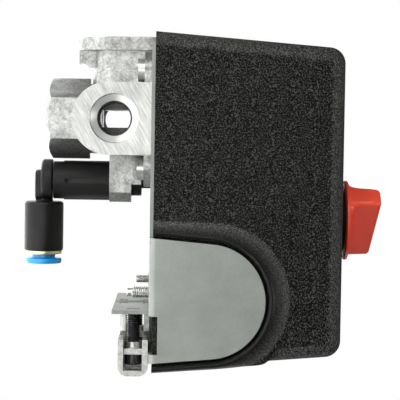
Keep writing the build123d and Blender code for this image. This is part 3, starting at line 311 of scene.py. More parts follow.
def stretched(node, name, material, share=(0, 1)):
    """A merged copy of a spring, or the share of its height that is asked for, closed by a face
    where it is cut."""
    low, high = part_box(node)
    ends = [low[2] + (high[2] - low[2]) * part for part in share]
    mesh = frame["nodes"][node].data.copy()
    mesh.name = name
    work = bmesh.new()
    work.from_mesh(mesh)
    bmesh.ops.remove_doubles(work, verts=work.verts, dist=MERGE)
    for part, z, way in zip(share, ends, (-1, 1)):
        if 0 < part < 1:
            everything = work.verts[:] + work.edges[:] + work.faces[:]
            cut = bmesh.ops.bisect_plane(
                work, geom=everything, plane_co=(0, 0, z), plane_no=(0, 0, way), clear_outer=True
            )
            rim = [item for item in cut["geom_cut"] if isinstance(item, bmesh.types.BMEdge)]
            bmesh.ops.triangle_fill(work, edges=rim, use_beauty=True)
    bmesh.ops.recalc_face_normals(work, faces=work.faces)
    work.to_mesh(mesh)
    work.free()
    shade(mesh, 40)
    obj = shown(name, mesh)
    obj.data.materials.clear()
    obj.data.materials.append(material)
    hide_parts(node)
    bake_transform(obj)
    return obj


# ---- finishes
class Finish:
    """A procedural material: short calls that add nodes on Object coordinates."""

    def __init__(self, name, colour, roughness, metallic=0.0, **sockets):
        self.material = bpy.data.materials.new(name)
        self.material.use_nodes = True
        self.tree = self.material.node_tree
        self.shader = self.tree.nodes["Principled BSDF"]
        self.shader.inputs["Base Color"].default_value = (*colour, 1)
        self.shader.inputs["Roughness"].default_value = roughness
        self.shader.inputs["Metallic"].default_value = metallic
        for socket, value in sockets.items():
            self.shader.inputs[socket.replace("_", " ")].default_value = value
        self.place = self.tree.nodes.new("ShaderNodeTexCoord").outputs["Object"]

    def node(self, kind, inputs=None, **settings):
        """Adds a node; inputs maps a socket to a value or to another node's output."""
        made = self.tree.nodes.new(kind)
        for key, value in settings.items():
            setattr(made, key, value)
        for socket, value in (inputs or {}).items():
            if isinstance(value, bpy.types.NodeSocket):
                self.tree.links.new(value, made.inputs[socket])
            else:
                made.inputs[socket].default_value = value
        return made

    def noise(self, scale, detail=3.0, roughness=0.55, stretch=None, turn=(0, 0, 0)):
        """Noise with a grain of one over scale metres, stretched and turned where asked."""
        place = self.place
        if stretch is not None:
            turned = self.node("ShaderNodeMapping", {"Vector": place, "Rotation": turn}).outputs[0]
            place = self.node("ShaderNodeMapping", {"Vector": turned, "Scale": stretch}).outputs[0]
        inputs = {"Vector": place, "Scale": scale, "Detail": detail, "Roughness": roughness}
        return self.node("ShaderNodeTexNoise", inputs).outputs["Fac"]

    def spread(self, value, low, high, to_low=0.0, to_high=1.0):
        """Maps a value from one range to another, clamped."""
        inputs = {"Value": value, 1: low, 2: high, 3: to_low, 4: to_high}
        return self.node("ShaderNodeMapRange", inputs).outputs[0]

    def maths(self, operation, first, second=0.0):
        """One step of arithmetic."""
        return self.node("ShaderNodeMath", {0: first, 1: second}, operation=operation).outputs[0]

    def blend(self, share, first, second):
        """Mixes two colours by a share."""
        made = self.node("ShaderNodeMix", {0: share}, data_type="RGBA")
        for socket, value in ((6, first), (7, second)):
            if isinstance(value, bpy.types.NodeSocket):
                self.tree.links.new(value, made.inputs[socket])
            else:
                made.inputs[socket].default_value = (*value, 1)
        return made.outputs[2]

    def bump(self, height, distance, strength=1.0, below=None):
        """Turns a height into a shading relief, on top of an earlier one."""
        inputs = {"Height": height, "Distance": distance * MM, "Strength": strength}
        if below is not None:
            inputs["Normal"] = below
        return self.node("ShaderNodeBump", inputs).outputs[0]

    def drive(self, **sockets):
        """Links outputs to the shader's sockets."""
        for socket, value in sockets.items():
            self.tree.links.new(value, self.shader.inputs[socket.replace("_", " ")])
        return self.material


def scaled(colour, factor):
    """A colour made darker or lighter by one factor."""
    return tuple(factor * part for part in colour)


def textured_cover(settings):
    """Black plastic: coarse spark-eroded grain on the walls, smoother where the mark is 0, and a
    lighter tone where it lies between, partly smoother finish, partly painted highlight.
    """
    light = tuple(settings.cover_colour)
    f = Finish("cover_plastic", light, 0.5, Specular_IOR_Level=0.09)
    grain_and_highlight_mark = f.node("ShaderNodeAttribute", attribute_name="mark").outputs["Fac"]
    grain = f.noise(2100, detail=2.0, roughness=0.55)
    fine = f.noise(3600, detail=2.0)
    speckle = f.spread(grain, 0.48, 0.70)
    rough_colour = f.blend(speckle, scaled(light, 0.01), light)
    # a lighter tone for the rounded edges and pod bevels: partly a smoother finish, partly a painted
    # highlight
    edge_gloss_and_painted_highlight = f.blend(f.spread(grain, 0.40, 0.66), scaled(light, 0.28), scaled(light, 1.7))
    smooth_and_highlight_colour = f.blend(f.spread(grain_and_highlight_mark, 0.0, 0.5), scaled(light, 0.12), edge_gloss_and_painted_highlight)
    colour = f.blend(f.spread(grain_and_highlight_mark, 0.5, 1.0), smooth_and_highlight_colour, rough_colour)
    depth = f.maths("MULTIPLY", grain, f.spread(grain_and_highlight_mark, 0.2, 1, 0.15, 1.0))
    relief = f.bump(depth, 0.30, 1.0)
    relief = f.bump(fine, 0.03, 0.5, relief)
    smooth = f.spread(grain_and_highlight_mark, 0.2, 0.8, 0.3, 0.5)
    roughness = f.maths("ADD", smooth, f.spread(grain, 0.3, 0.7, -0.08, 0.08))
    return f.drive(Base_Color=colour, Normal=relief, Roughness=roughness)


def cast_aluminium(settings):
    """Die-cast aluminium: mottled skin, port faces sanded with slanting scratches, a cleaner and
    paler countersink in each port, and bores painted dark as shade."""
    light = tuple(settings.casting_colour)
    metallic = 0.92
    f = Finish("cast_aluminium", light, 0.36, metallic)
    reach = (PORT_REACH - 0.25) * MM
    parts = f.node("ShaderNodeSeparateXYZ", {"Vector": f.place}).outputs
    on_y = f.maths("GREATER_THAN", f.maths("ABSOLUTE", parts["Y"]), reach)
    on_x = f.maths("LESS_THAN", parts["X"], -reach)
    sanded = f.maths("MAXIMUM", on_y, on_x)
    cloud = f.noise(260, detail=5.0, roughness=0.7)
    pits = f.noise(1300, detail=3.0, roughness=0.6)
    mottle = f.maths("ADD", f.maths("MULTIPLY", cloud, 0.55), f.maths("MULTIPLY", pits, 0.45))
    skin = f.blend(f.spread(mottle, 0.38, 0.62), scaled(light, 0.34), scaled(light, 0.78))
    scratch = f.noise(300, detail=8.0, roughness=0.8, stretch=(7, 1, 0.5), turn=(0, -1.05, 0))
    streak = f.blend(f.spread(scratch, 0.38, 0.62), scaled(light, 0.54), scaled(light, 0.98))
    from_axis = near_axes(f, parts)
    # inside the bores the colour is painted dark: shade in the holes
    painted_bore_shade = f.maths("LESS_THAN", from_axis, PORT_WALL_R * MM)
    countersink = f.maths("LESS_THAN", from_axis, COUNTERSINK_R * MM)
    outside = f.blend(countersink, f.blend(sanded, skin, streak), scaled(light, 1.25))
    colour = f.blend(painted_bore_shade, outside, scaled(light, 0.1))
    metal = f.spread(countersink, 0.0, 1.0, metallic, 0.45)
    rough_skin = f.spread(mottle, 0.35, 0.65, 0.44, 0.28)
    relief = f.bump(mottle, 0.09, 0.6)
    relief = f.bump(f.maths("MULTIPLY", scratch, sanded), 0.05, 0.8, relief)
    return f.drive(Base_Color=colour, Normal=relief, Roughness=rough_skin, Metallic=metal)


def near_axes(f, parts):
    """How far a point is from the nearest port axis: one runs the whole way along Y, one from the
    middle towards -X, and one from the level ports down."""
    rise = f.maths("SUBTRACT", parts["Z"], PORT_Z * MM)
    behind = f.maths("MAXIMUM", parts["X"], 0.0)
    beyond = f.maths("MAXIMUM", rise, 0.0)

    def reach(*lengths):
        place = f.node("ShaderNodeCombineXYZ", dict(enumerate(lengths))).outputs[0]
        return f.node("ShaderNodeVectorMath", {0: place}, operation="LENGTH").outputs["Value"]

    along_y = reach(parts["X"], rise)
    along_x = reach(parts["Y"], rise, behind)
    along_z = reach(parts["X"], parts["Y"], beyond)
    return f.maths("MINIMUM", f.maths("MINIMUM", along_y, along_x), along_z)


def galvanised_sheet(settings):
    """Galvanised sheet: an even grey-green coat with a fine grain and faint clouds."""
    light = tuple(settings.sheet_colour)
    f = Finish("galvanised_sheet", light, 0.5, 0.5)
    cloud = f.noise(90, detail=3.0)
    fine = f.noise(1400, detail=4.0, roughness=0.7)
    tone = f.maths("ADD", f.maths("MULTIPLY", cloud, 0.5), f.maths("MULTIPLY", fine, 0.5))
    colour = f.blend(f.spread(tone, 0.35, 0.65), scaled(light, 0.77), light)
    relief = f.bump(fine, 0.015, 0.4)
    spread = f.spread(fine, 0.3, 0.7, 0.42, 0.56)
    return f.drive(Base_Color=colour, Normal=relief, Roughness=spread)


def plated_steel(name, dark, light, roughness, metallic=0.9):
    """Plated steel: two close tones in a fine cloud, with short drawn scratches."""
    f = Finish(name, light, roughness, metallic)
    cloud = f.noise(700, detail=4.0, roughness=0.65)
    drawn = f.noise(500, detail=3.0, stretch=(1, 1, 7))
    tone = f.maths("ADD", f.maths("MULTIPLY", cloud, 0.6), f.maths("MULTIPLY", drawn, 0.4))
    colour = f.blend(f.spread(tone, 0.35, 0.65), dark, light)
    spread = f.spread(tone, 0.3, 0.7, roughness + 0.08, roughness - 0.06)
    return f.drive(Base_Color=colour, Normal=f.bump(tone, 0.02, 0.4), Roughness=spread)


def moulded_plastic(name, colour, roughness, grain=0.02, variation=0.12, **sockets):
    """Moulded plastic: one colour, slightly uneven, with a fine skin."""
    f = Finish(name, colour, roughness, **sockets)
    cloud = f.noise(160, detail=3.0)
    skin = f.noise(2600, detail=3.0)
    dark = scaled(colour, 1 - variation)
    light = tuple(min(1, c * (1 + variation) + 0.002) for c in colour)
    tone = f.blend(f.spread(cloud, 0.3, 0.7), dark, light)
    spread = f.spread(skin, 0.3, 0.7, roughness - 0.04, roughness + 0.06)
    return f.drive(Base_Color=tone, Normal=f.bump(skin, grain, 0.4), Roughness=spread)


def rubber():
    """Black rubber, matt and slightly dusty."""
    return moulded_plastic("black_rubber", (0.02, 0.02, 0.02), 0.75, grain=0.04, variation=0.3)


# ---- settings
def colour_setting(name, description, default):
    """A colour that a user may change."""
    return bpy.props.FloatVectorProperty(
        name=name, description=description, subtype="COLOR", size=3, min=0, max=1, default=default
    )


def size_setting(name, description, default):
    """A length in millimetres, or an angle in degrees, that a user may change."""
    return bpy.props.FloatProperty(name=name, description=description, default=default, unit="NONE")


class FinishSettings(bpy.types.PropertyGroup):
    """Colours of the finishes."""

    cover_colour: colour_setting("Cover", "Lightest tone of the cover's grain", (0.08, 0.08, 0.075))
    knob_colour: colour_setting("Knob", "Colour of the knob", (0.98, 0.085, 0.04))
    collar_colour: colour_setting("Collar", "Colour of the push-in collar", (0.004, 0.25, 0.60))
    casting_colour: colour_setting("Casting", "Lightest tone of the manifold", (0.50, 0.51, 0.49))
    sheet_colour: colour_setting("Sheet", "Lightest tone of the sheet", (0.25, 0.267, 0.246))
    fitting_colour: colour_setting("Fitting", "Colour of the elbow", (0.006, 0.006, 0.0056))


class CoverSettings(bpy.types.PropertyGroup):
    """Sizes of the cover's surface, in millimetres."""

    edge: size_setting("Edge radius", "Radius of the cover's outer edges", 5.0)
    wall: size_setting("Wall", "Thickness of the wall", 2.2)
    lean_x: size_setting("Lean along X", "How far the end walls lean in at the top", 4.5)
    lean_y: size_setting("Lean along Y", "How far the side walls lean in at the top", 4.4)
    half_width: size_setting("Half width", "Half the width at the rim, without the pods", 32.0)
    height: size_setting("Height", "Height of the shell above the plate", 63.1)
    boss_radius: size_setting("Boss radius", "Radius of the boss under the knob", 11.0)
    boss_height: size_setting("Boss height", "Height of the boss under the knob", 2.5)
    pod_gap: size_setting("Pod gap", "Gap between a flap and its pod", 0.75)
    pod_crest: size_setting("Pod crest", "Distance from the flap to the pod's crest", 2.0)
    pod_slope: size_setting("Pod slope", "Fall of the pod's bevel for each millimetre out", 1.15)


class KnobSettings(bpy.types.PropertyGroup):
    """Sizes of the knob, in millimetres."""

    grip_length: size_setting("Grip length", "Length of the grip", 27.6)
    grip_thick: size_setting("Grip thickness", "Thickness of the grip", 7.9)
    disc_thick: size_setting("Disc", "Thickness of the disc's rim", 1.2)
    flare: size_setting("End flare", "Height of the sweep into the grip's near end", 10.4)
    side_flare: size_setting("Side flare", "Height of the sweep into the grip's sides", 1.5)
    shift: size_setting("Shift", "Distance of the grip's middle from the disc's centre", 0.9)
    corner: size_setting("Corner", "Radius of the grip's upright corners", 1.5)
    edge: size_setting("Edge", "Radius of the grip's upper edge", 1.9)
    tilt: size_setting("Tilt", "Fall of the grip's top over its length", 1.9)
    turn: size_setting("Turn", "Angle of the grip from the X axis in degrees", 45.0)


SETTINGS = {"finish": FinishSettings, "cover": CoverSettings, "knob": KnobSettings}


def settings_of(name):
    """One group of settings, as the scene holds it."""
    return getattr(bpy.context.scene, f"switch_{name}")


# ---- cover
CORNER_MARK = 0.75  # how much of the wall's grain its upright corners have, the rest a lighter tone that paints a highlight
EDGE_MARK = 0.72  # and its rounded top edge


def cover_shell(s):
    """The shell's grid, its rows going up the outer wall, over the rounded top edge, in to the
    boss, down its hole and back down inside. Each row is a rounded rectangle, or on the way to the
    boss a mix of one with a circle. Also gives each point's mark: 1 where the wall is textured."""
    shape = perimeter(side_points=40, arc_points=10)
    centre_x = (COVER_LOW[0] / MM + COVER_END_X) / 2
    half_x = centre_x - COVER_LOW[0] / MM
    rim_z = PLATE_TOP / MM
    top_z = rim_z + s.height
    knob_x = KNOB_AT[0] / MM
    share, normal = shape
    flat = (np.abs(normal).max(axis=1) > 0.9999).astype(float)
    angle = np.arctan2(share[:, 1] * s.half_width, share[:, 0] * half_x - (knob_x - centre_x))
    rows = []
    marks = []

    def add(row, mark):
        rows.append(row)
        marks.append(np.broadcast_to(mark, len(row)))

    def wall_row(z, inset, radius):
        lean = (z - rim_z) / s.height
        reach_x = half_x - s.lean_x * lean - inset
        reach_y = s.half_width - s.lean_y * lean - inset
        xy = ring(shape, reach_x, reach_y, radius)
        return np.column_stack([xy[:, 0] + centre_x, xy[:, 1], np.full(len(xy), z)])

    def circle(radius, z):
        around = (knob_x + radius * np.cos(angle), radius * np.sin(angle))
        return np.column_stack([*around, np.full(len(angle), z)])

    def top_rows(start, end):
        return [start * (1 - t) + end * t for t in np.linspace(0, 1, 12)[1:]]

    # marks below 1 on the corners and top edge give them the lighter tone of a painted highlight
    for z in np.linspace(rim_z, top_z - s.edge, 14):
        add(wall_row(z, 0, s.edge), CORNER_MARK + (1 - CORNER_MARK) * flat)
    tighten = 0.94  # the corner's radius shrinks by this share of the inset, so it stays above 0
    turns = np.radians(np.linspace(0, 90, 10)[1:])
    for turn in turns:
        inset = s.edge * (1 - math.cos(turn))
        z = top_z - s.edge * (1 - math.sin(turn))
        mark = 1 if turn == turns[-1] else EDGE_MARK
        add(wall_row(z, inset, s.edge - inset * tighten), mark)
    boss_top = top_z + s.boss_height
    for row in top_rows(rows[-1], circle(s.boss_radius + 0.6, top_z)):
        add(row, 1)
    inner_top = top_z - s.wall
    boss = [
        (s.boss_radius + 0.2, top_z + 0.1),
        (s.boss_radius, top_z + 0.5),
        (s.boss_radius, boss_top - 0.5),
        (s.boss_radius - 0.2, boss_top - 0.1),
        (s.boss_radius - 0.6, boss_top),
        (SHAFT_HOLE_R, boss_top),
        (SHAFT_HOLE_R, inner_top),
    ]
    for radius, z in boss:
        add(circle(radius, z), 0)
    inner_edge = wall_row(inner_top, s.edge, 1.0)
    for row in (*top_rows(inner_edge, circle(SHAFT_HOLE_R + 1, inner_top))[::-1], inner_edge):
        add(row, 0)
    for z in np.linspace(inner_top - s.edge + s.wall, rim_z, 8):
        add(wall_row(z, s.wall, s.edge - s.wall), 0)
    return np.array(rows) * MM, np.array(marks)


def flap_path(count):
    """Points along the flap's D outline and the directions out of it: up one sloping side, round
    the end as a circle's arc, and down the other side. The sides touch the circle."""
    centre = np.array([FLAP_HIGH[0] / MM - FLAP_HALF_BASE, FLAP_HIGH[2] / MM - FLAP_RADIUS])
    foot_z = PLATE_TOP / MM - SHEET
    reach = math.hypot(FLAP_HALF_BASE, centre[1] - foot_z)
    touch = math.atan2(foot_z - centre[1], FLAP_HALF_BASE) + math.acos(FLAP_RADIUS / reach)
    arc = np.linspace(math.pi - touch, touch, count)
    out = np.stack([np.cos(arc), np.sin(arc)], axis=1)
    on_arc = centre + FLAP_RADIUS * out
    t = np.linspace(0, 1, 16)[:-1, None]
    left_foot = centre + np.array([-FLAP_HALF_BASE, foot_z - centre[1]])
    right_foot = centre + np.array([FLAP_HALF_BASE, foot_z - centre[1]])
    left = left_foot * (1 - t) + on_arc[0] * t
    right = (right_foot * (1 - t) + on_arc[-1] * t)[::-1]
    left_out = np.repeat(out[:1], len(left), axis=0)
    right_out = np.repeat(out[-1:], len(right), axis=0)
    points = np.concatenate([left, on_arc, right])
    return points, np.concatenate([left_out, out, right_out])


def cover_pod(s, side):
    """The raised rim round a flap: a profile carried along the D outline. Out from the flap it
    climbs to a crest, then falls along a bevel that melts into the leaning wall, by a smooth
    maximum of the two heights, log(exp a + exp b). In the same way it is held back at the cover's
    end wall. It closes inside the wall. Each point's mark rises down the bevel."""
    melt = 0.45  # over which the bevel and the wall melt together
    past_end = 0.6  # how far the pod may stand past the cover's end wall, and its softness there
    widest = 10.0  # how far out from the flap the profile goes
    points, directions = flap_path(90)
    rim_z = PLATE_TOP / MM
    crest_y = max(abs(COVER_LOW[1]), COVER_HIGH[1]) / MM
    gap = s.pod_gap
    lip = [gap, gap, gap + 0.25, gap + 0.7]
    out = np.concatenate([lip, np.linspace(s.pod_crest, widest, 26), [widest]])
    x = points[:, 0][:, None] + directions[:, 0][:, None] * out
    z = np.maximum(points[:, 1][:, None] + directions[:, 1][:, None] * out, rim_z)
    lean = (z - rim_z) / s.height
    wall = s.half_width - s.lean_y * lean
    fall = np.maximum(out - s.pod_crest, 0)
    bevel = crest_y - s.pod_slope * (np.sqrt(fall**2 + 0.5) - 0.707)
    y = melt * np.logaddexp(bevel / melt, wall / melt)
    y = np.minimum(y, crest_y)
    end_x = COVER_END_X - s.lean_x * lean + past_end
    beyond = 1 / (1 + np.exp(-(x - end_x + 2 * past_end) / 0.3))
    x = end_x - past_end * np.logaddexp((end_x - x) / past_end, 0)
    sunk = wall - 1.5 - 4.0 * beyond
    y[:, 0] = sunk[:, 0]
    y[:, 1] = wall[:, 1] + 0.4
    y[:, 2] = crest_y - 1.0
    y[:, 3] = crest_y - 0.25
    y[:, -2] = wall[:, -2] - 0.12 - 2.0 * beyond[:, -2]
    y[:, -1] = sunk[:, -1]
    proud = np.clip((bevel - wall) / np.maximum(crest_y - wall, 0.1), 0, 1)
    # down the bevel the mark brings in the cover's lighter tone, a painted highlight on a smoother
    # finish
    mark = np.clip(0.62 - 0.62 * proud + np.clip(wall - bevel, 0, 0.5) * 0.8, 0, 1)
    mark[:, :4] = 0
    grid = np.stack([x, side * y, z], axis=-1) * MM
    return grid, mark


class SWITCH_OT_cover(bpy.types.Operator):
    """Build the cover's shell with its two pods"""

    bl_idname = "switch.cover"
    bl_label = "Cover"

    def execute(self, context):
        s = settings_of("cover")
        parts = Surfaces()
        grid, mark = cover_shell(s)
        parts.add(grid, close_rows=True, close_columns=True, mark=mark)
        for side in (-1, 1):
            grid, mark = cover_pod(s, side)
            parts.add(grid, close_columns=True, cap_ends=True, mark=mark)
        cover = parts.make("cover_shell", sharp=35)
        put(cover, "cover", textured_cover(settings_of("finish")), "cover_black", "cover")
        return {"FINISHED"}


# ---- knob
def knob_grid(s):
    """Rows of points from the disc's underside up to the grip's top. Each is a mix of a circle and
    a rounded bar. Over the flare the bar's share is one less a power of what is left, which gives
    the hollow sweep from the disc into the grip. The flare is low along the sides of the grip, and
    rises in a quarter circle towards its near end. The grip's top falls towards its far end."""
    base = KNOB_LOW[2] / MM
    top = KNOB_HIGH[2] / MM
    radius = (KNOB_HIGH[0] - KNOB_LOW[0]) / 2 / MM
    shape = perimeter(side_points=40, arc_points=12)
    half_long = s.grip_length / 2
    half_thick = s.grip_thick / 2
    offset = np.array([s.shift, 0])
    outline = ring(shape, half_long, half_thick, s.corner) + offset
    step = np.linalg.norm(np.roll(outline, -1, axis=0) - outline, axis=1)
    travelled = np.concatenate([[0], np.cumsum(step)[:-1]]) / step.sum()
    start = np.argmin(np.abs(outline[:, 1]) + (outline[:, 0] < 0) * s.grip_length)
    # the circle's points lie between even steps and the directions of the bar's points
    even = 2 * math.pi * (travelled - travelled[start])
    ahead = np.arctan2(outline[:, 1], outline[:, 0])
    pull = 0.6
    toward_x = np.cos(even) + pull * np.cos(ahead)
    toward_y = np.sin(even) + pull * np.sin(ahead)
    angle = np.arctan2(toward_y, toward_x)
    circle = np.column_stack([np.cos(angle), np.sin(angle)])
    disc_top = base + s.disc_thick
    begins = 0.15 * half_long  # where the end's flare begins, out from the grip's middle
    near = np.clip((-outline[:, 0] - begins) / (half_long - begins - 0.4), 0, 1)
    flare = s.side_flare + (s.flare - s.side_flare) * (1 - np.sqrt(1 - near**2))
    rows = []

    def row(mix, size, inset, z):
        corner = max(s.corner - inset, 0.25)
        bar = ring(shape, half_long - inset, half_thick - inset, corner) + offset
        xy = circle * size * (1 - mix) + bar * mix
        rows.append(np.column_stack([xy, np.broadcast_to(z, len(xy))]))

    rim = (
        (3.2, base),
        (radius - 0.4, base),
        (radius - 0.05, base + 0.2),
        (radius, base + 0.5),
        (radius, disc_top - 0.45),
        (radius - 0.1, disc_top - 0.15),
        (radius - 0.35, disc_top),
    )
    for size, z in rim:
        row(0, size, 0, z)
    for t in np.linspace(0, 1, 26)[1:]:
        row(1 - (1 - t) ** 1.7, radius - 0.35, 0, disc_top + flare * t**1.25)
    straight = disc_top + flare
    draft = 0.25  # how much narrower each side is at the top
    for t in np.linspace(0, 1, 9)[1:]:
        row(1, 0, draft * t, straight + (top - s.edge - straight) * t)
    for turn in np.radians((20, 40, 60, 75, 90)):
        inset = draft + s.edge * (1 - math.cos(turn))
        row(1, 0, inset, top - s.edge + s.edge * math.sin(turn))
    for inset in (2.7, 3.4, 3.7):
        row(1, 0, inset, top)
    grid = np.array(rows)
    lift = np.clip((grid[..., 2] - disc_top - 1) / (top - disc_top - 1), 0, 1)
    grid[..., 2] -= lift * s.tilt * (grid[..., 0] / s.grip_length + 0.5)
    turn = math.radians(s.turn)
    x = grid[..., 0] * math.cos(turn) - grid[..., 1] * math.sin(turn)
    y = grid[..., 0] * math.sin(turn) + grid[..., 1] * math.cos(turn)
    placed = np.stack([x, y, grid[..., 2]], axis=-1) * MM
    placed[..., :2] += KNOB_AT[:2]
    return placed


class SWITCH_OT_knob(bpy.types.Operator):
    """Build the knob"""

    bl_idname = "switch.knob"
    bl_label = "Knob"

    def execute(self, context):
        knob = Surfaces().add(knob_grid(settings_of("knob")), close_columns=True, cap_ends=True)
        knob = knob.make("knob_grip", sharp=40)
        colour = tuple(settings_of("finish").knob_colour)
        red = moulded_plastic("knob_plastic", colour, 0.38, grain=0.012, variation=0.06)
        put(knob, "knob", red, "knob_red", "knob")
        return {"FINISHED"}


# ---- push-in elbow
BARREL_BACK = 28.8  # where the arm enters the barrel, along X
BARREL_BORE_R = 4.9
BARREL_BORE_DEPTH = 11
AIR_PASSAGE_R = 2.2
CHEEK_X = 23.2
BRASS_BORE_R = 4.08
BRASS_SLEEVE_R = 4.85
COLLAR_BORE_R = 3.05
COLLAR_SLEEVE_R = 4.0
COLLAR_FLANGE_R = 6.25
COLLAR_FLANGE = 1.9


def elbow_surfaces(hub_x, axis_z, end):
    """The hub on the valve, a flat cheek below it, and the arm and barrel along X."""
    on_arm = (0, 0, axis_z * MM)
    on_hub = (hub_x, 0, 0)
    barrel_r = axis_z - ELBOW_LOW[2] / MM
    floor = end - BARREL_BORE_DEPTH
    outside = [(AIR_PASSAGE_R, BARREL_BACK), (barrel_r, BARREL_BACK), (barrel_r, end)]
    inside = [(BARREL_BORE_R, end), (BARREL_BORE_R, floor), (AIR_PASSAGE_R, floor)]
    parts = Surfaces()
    barrel = rounded(outside + inside, [0, 1.1, 0.5, 0.2, 0, 0])
    parts.turn(barrel, on_arm, "x", hollow=True)
    parts.turn(pin(3.05, 18.0, 30.0, 0.7), on_arm, "x", 64)
    parts.turn(pin(7.15, -2.1, 1.75, 0.9, 0.4), on_hub)
    shape = perimeter(side_points=10, arc_points=8)
    cheek = []
    for z, inset in ((-4.3, 0.7), (-4.1, 0.25), (-3.6, 0), (-1.9, 0)):
        xy = ring(shape, 5.3 - inset, 3.9 - inset, 2.4 - inset)
        cheek.append(np.column_stack([xy[:, 0] + CHEEK_X, xy[:, 1], np.full(len(xy), z)]))
    parts.add(np.array(cheek) * MM, close_columns=True, cap_ends=True)
    return parts.turn(pin(3.0, 1.5, 8.5, 0, 0.4), on_hub, segments=48)


class SWITCH_OT_elbow(bpy.types.Operator):
    """Build the elbow, its brass ring and the release collar"""

    bl_idname = "switch.elbow"
    bl_label = "Push-in elbow"

    def execute(self, context):
        finish = settings_of("finish")
        colour = tuple(finish.fitting_colour)
        black = moulded_plastic("fitting_plastic", colour, 0.36, Specular_IOR_Level=0.17)
        valve = (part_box("unloader_body")[0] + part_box("unloader_body")[1]) / 2
        axis_z = COLLAR_LOW[2] / MM + COLLAR_FLANGE_R
        on_arm = (0, 0, axis_z * MM)
        end = ELBOW_HIGH[0] / MM
        elbow = elbow_surfaces(valve.x, axis_z, end).make("elbow_moulding", sharp=38)
        put(elbow, "elbow", black, "fitting_black", "elbow_body")

        face = RING_HIGH[0] / MM
        ring_r = (RING_HIGH[2] - RING_LOW[2]) / 2 / MM
        back = RING_LOW[0] / MM
        rim = end + 0.02
        sleeve = [(BRASS_BORE_R, back), (BRASS_SLEEVE_R, back), (BRASS_SLEEVE_R, rim)]
        flange = [(ring_r, rim), (ring_r, face), (BRASS_BORE_R, face)]
        outline = rounded(sleeve + flange, [0, 0, 0, 0.15, 0.3, 0.3])
        brass = Surfaces().turn(outline, on_arm, "x", hollow=True)
        gold = plated_steel("brass", (0.52, 0.43, 0.2), (0.78, 0.7, 0.42), 0.3)
        put(brass.make("brass_ring", sharp=38), "elbow", gold, "brass", "fitting_ring")

        colour = tuple(finish.collar_colour)
        blue = moulded_plastic("collar_plastic", colour, 0.3, grain=0.01, variation=0.06)
        low = COLLAR_LOW[0] / MM
        high = COLLAR_HIGH[0] / MM
        under = high - COLLAR_FLANGE
        flange_r = (COLLAR_HIGH[2] - COLLAR_LOW[2]) / 2 / MM
        sleeve = [(COLLAR_BORE_R, low), (COLLAR_SLEEVE_R, low), (COLLAR_SLEEVE_R, under)]
        flange = [(flange_r, under), (flange_r, high), (COLLAR_BORE_R, high)]
        outline = rounded(sleeve + flange, [0, 0, 0.2, 0.45, 0.7, 0.5])
        collar = Surfaces().turn(outline, on_arm, "x", hollow=True)
        put(collar.make("push_collar", sharp=38), "collar", blue, "collar_blue", "release_collar")
        return {"FINISHED"}


# ---- threaded pieces
THREAD_DEPTH = 0.64  # of the zinc screws, as a share of the pitch
CLAMP_HEAD = 3.4
CLAMP_HEAD_R = 2.9
CLAMP_SOCKET_R = 1.4
CLAMP_SOCKET_DEPTH = 1.2
PORT_CREST_R = 5.28
PORT_PITCH = 1.41
PORT_THREAD_LENGTH = 12.6
PORT_THREAD_START = 2.2  # from a level port's face to its thread


def screw_in_z(node, shank_r, pitch, thread_low, thread_high, turned):
    """A screw along Z: a helical wall closed by its ends, and turned outlines for the rest."""
    at = middle(node)
    at[2] = 0
    start = at + np.array([0, 0, thread_low * MM])
    wall = thread(shank_r, THREAD_DEPTH * pitch, pitch, thread_high - thread_low, start)
    parts = Surfaces().add(wall, close_columns=True, cap_ends=True)
    for outline in turned:
        parts.turn(outline, at, segments=48)
    return parts.make(f"{node}_threaded", sharp=25)


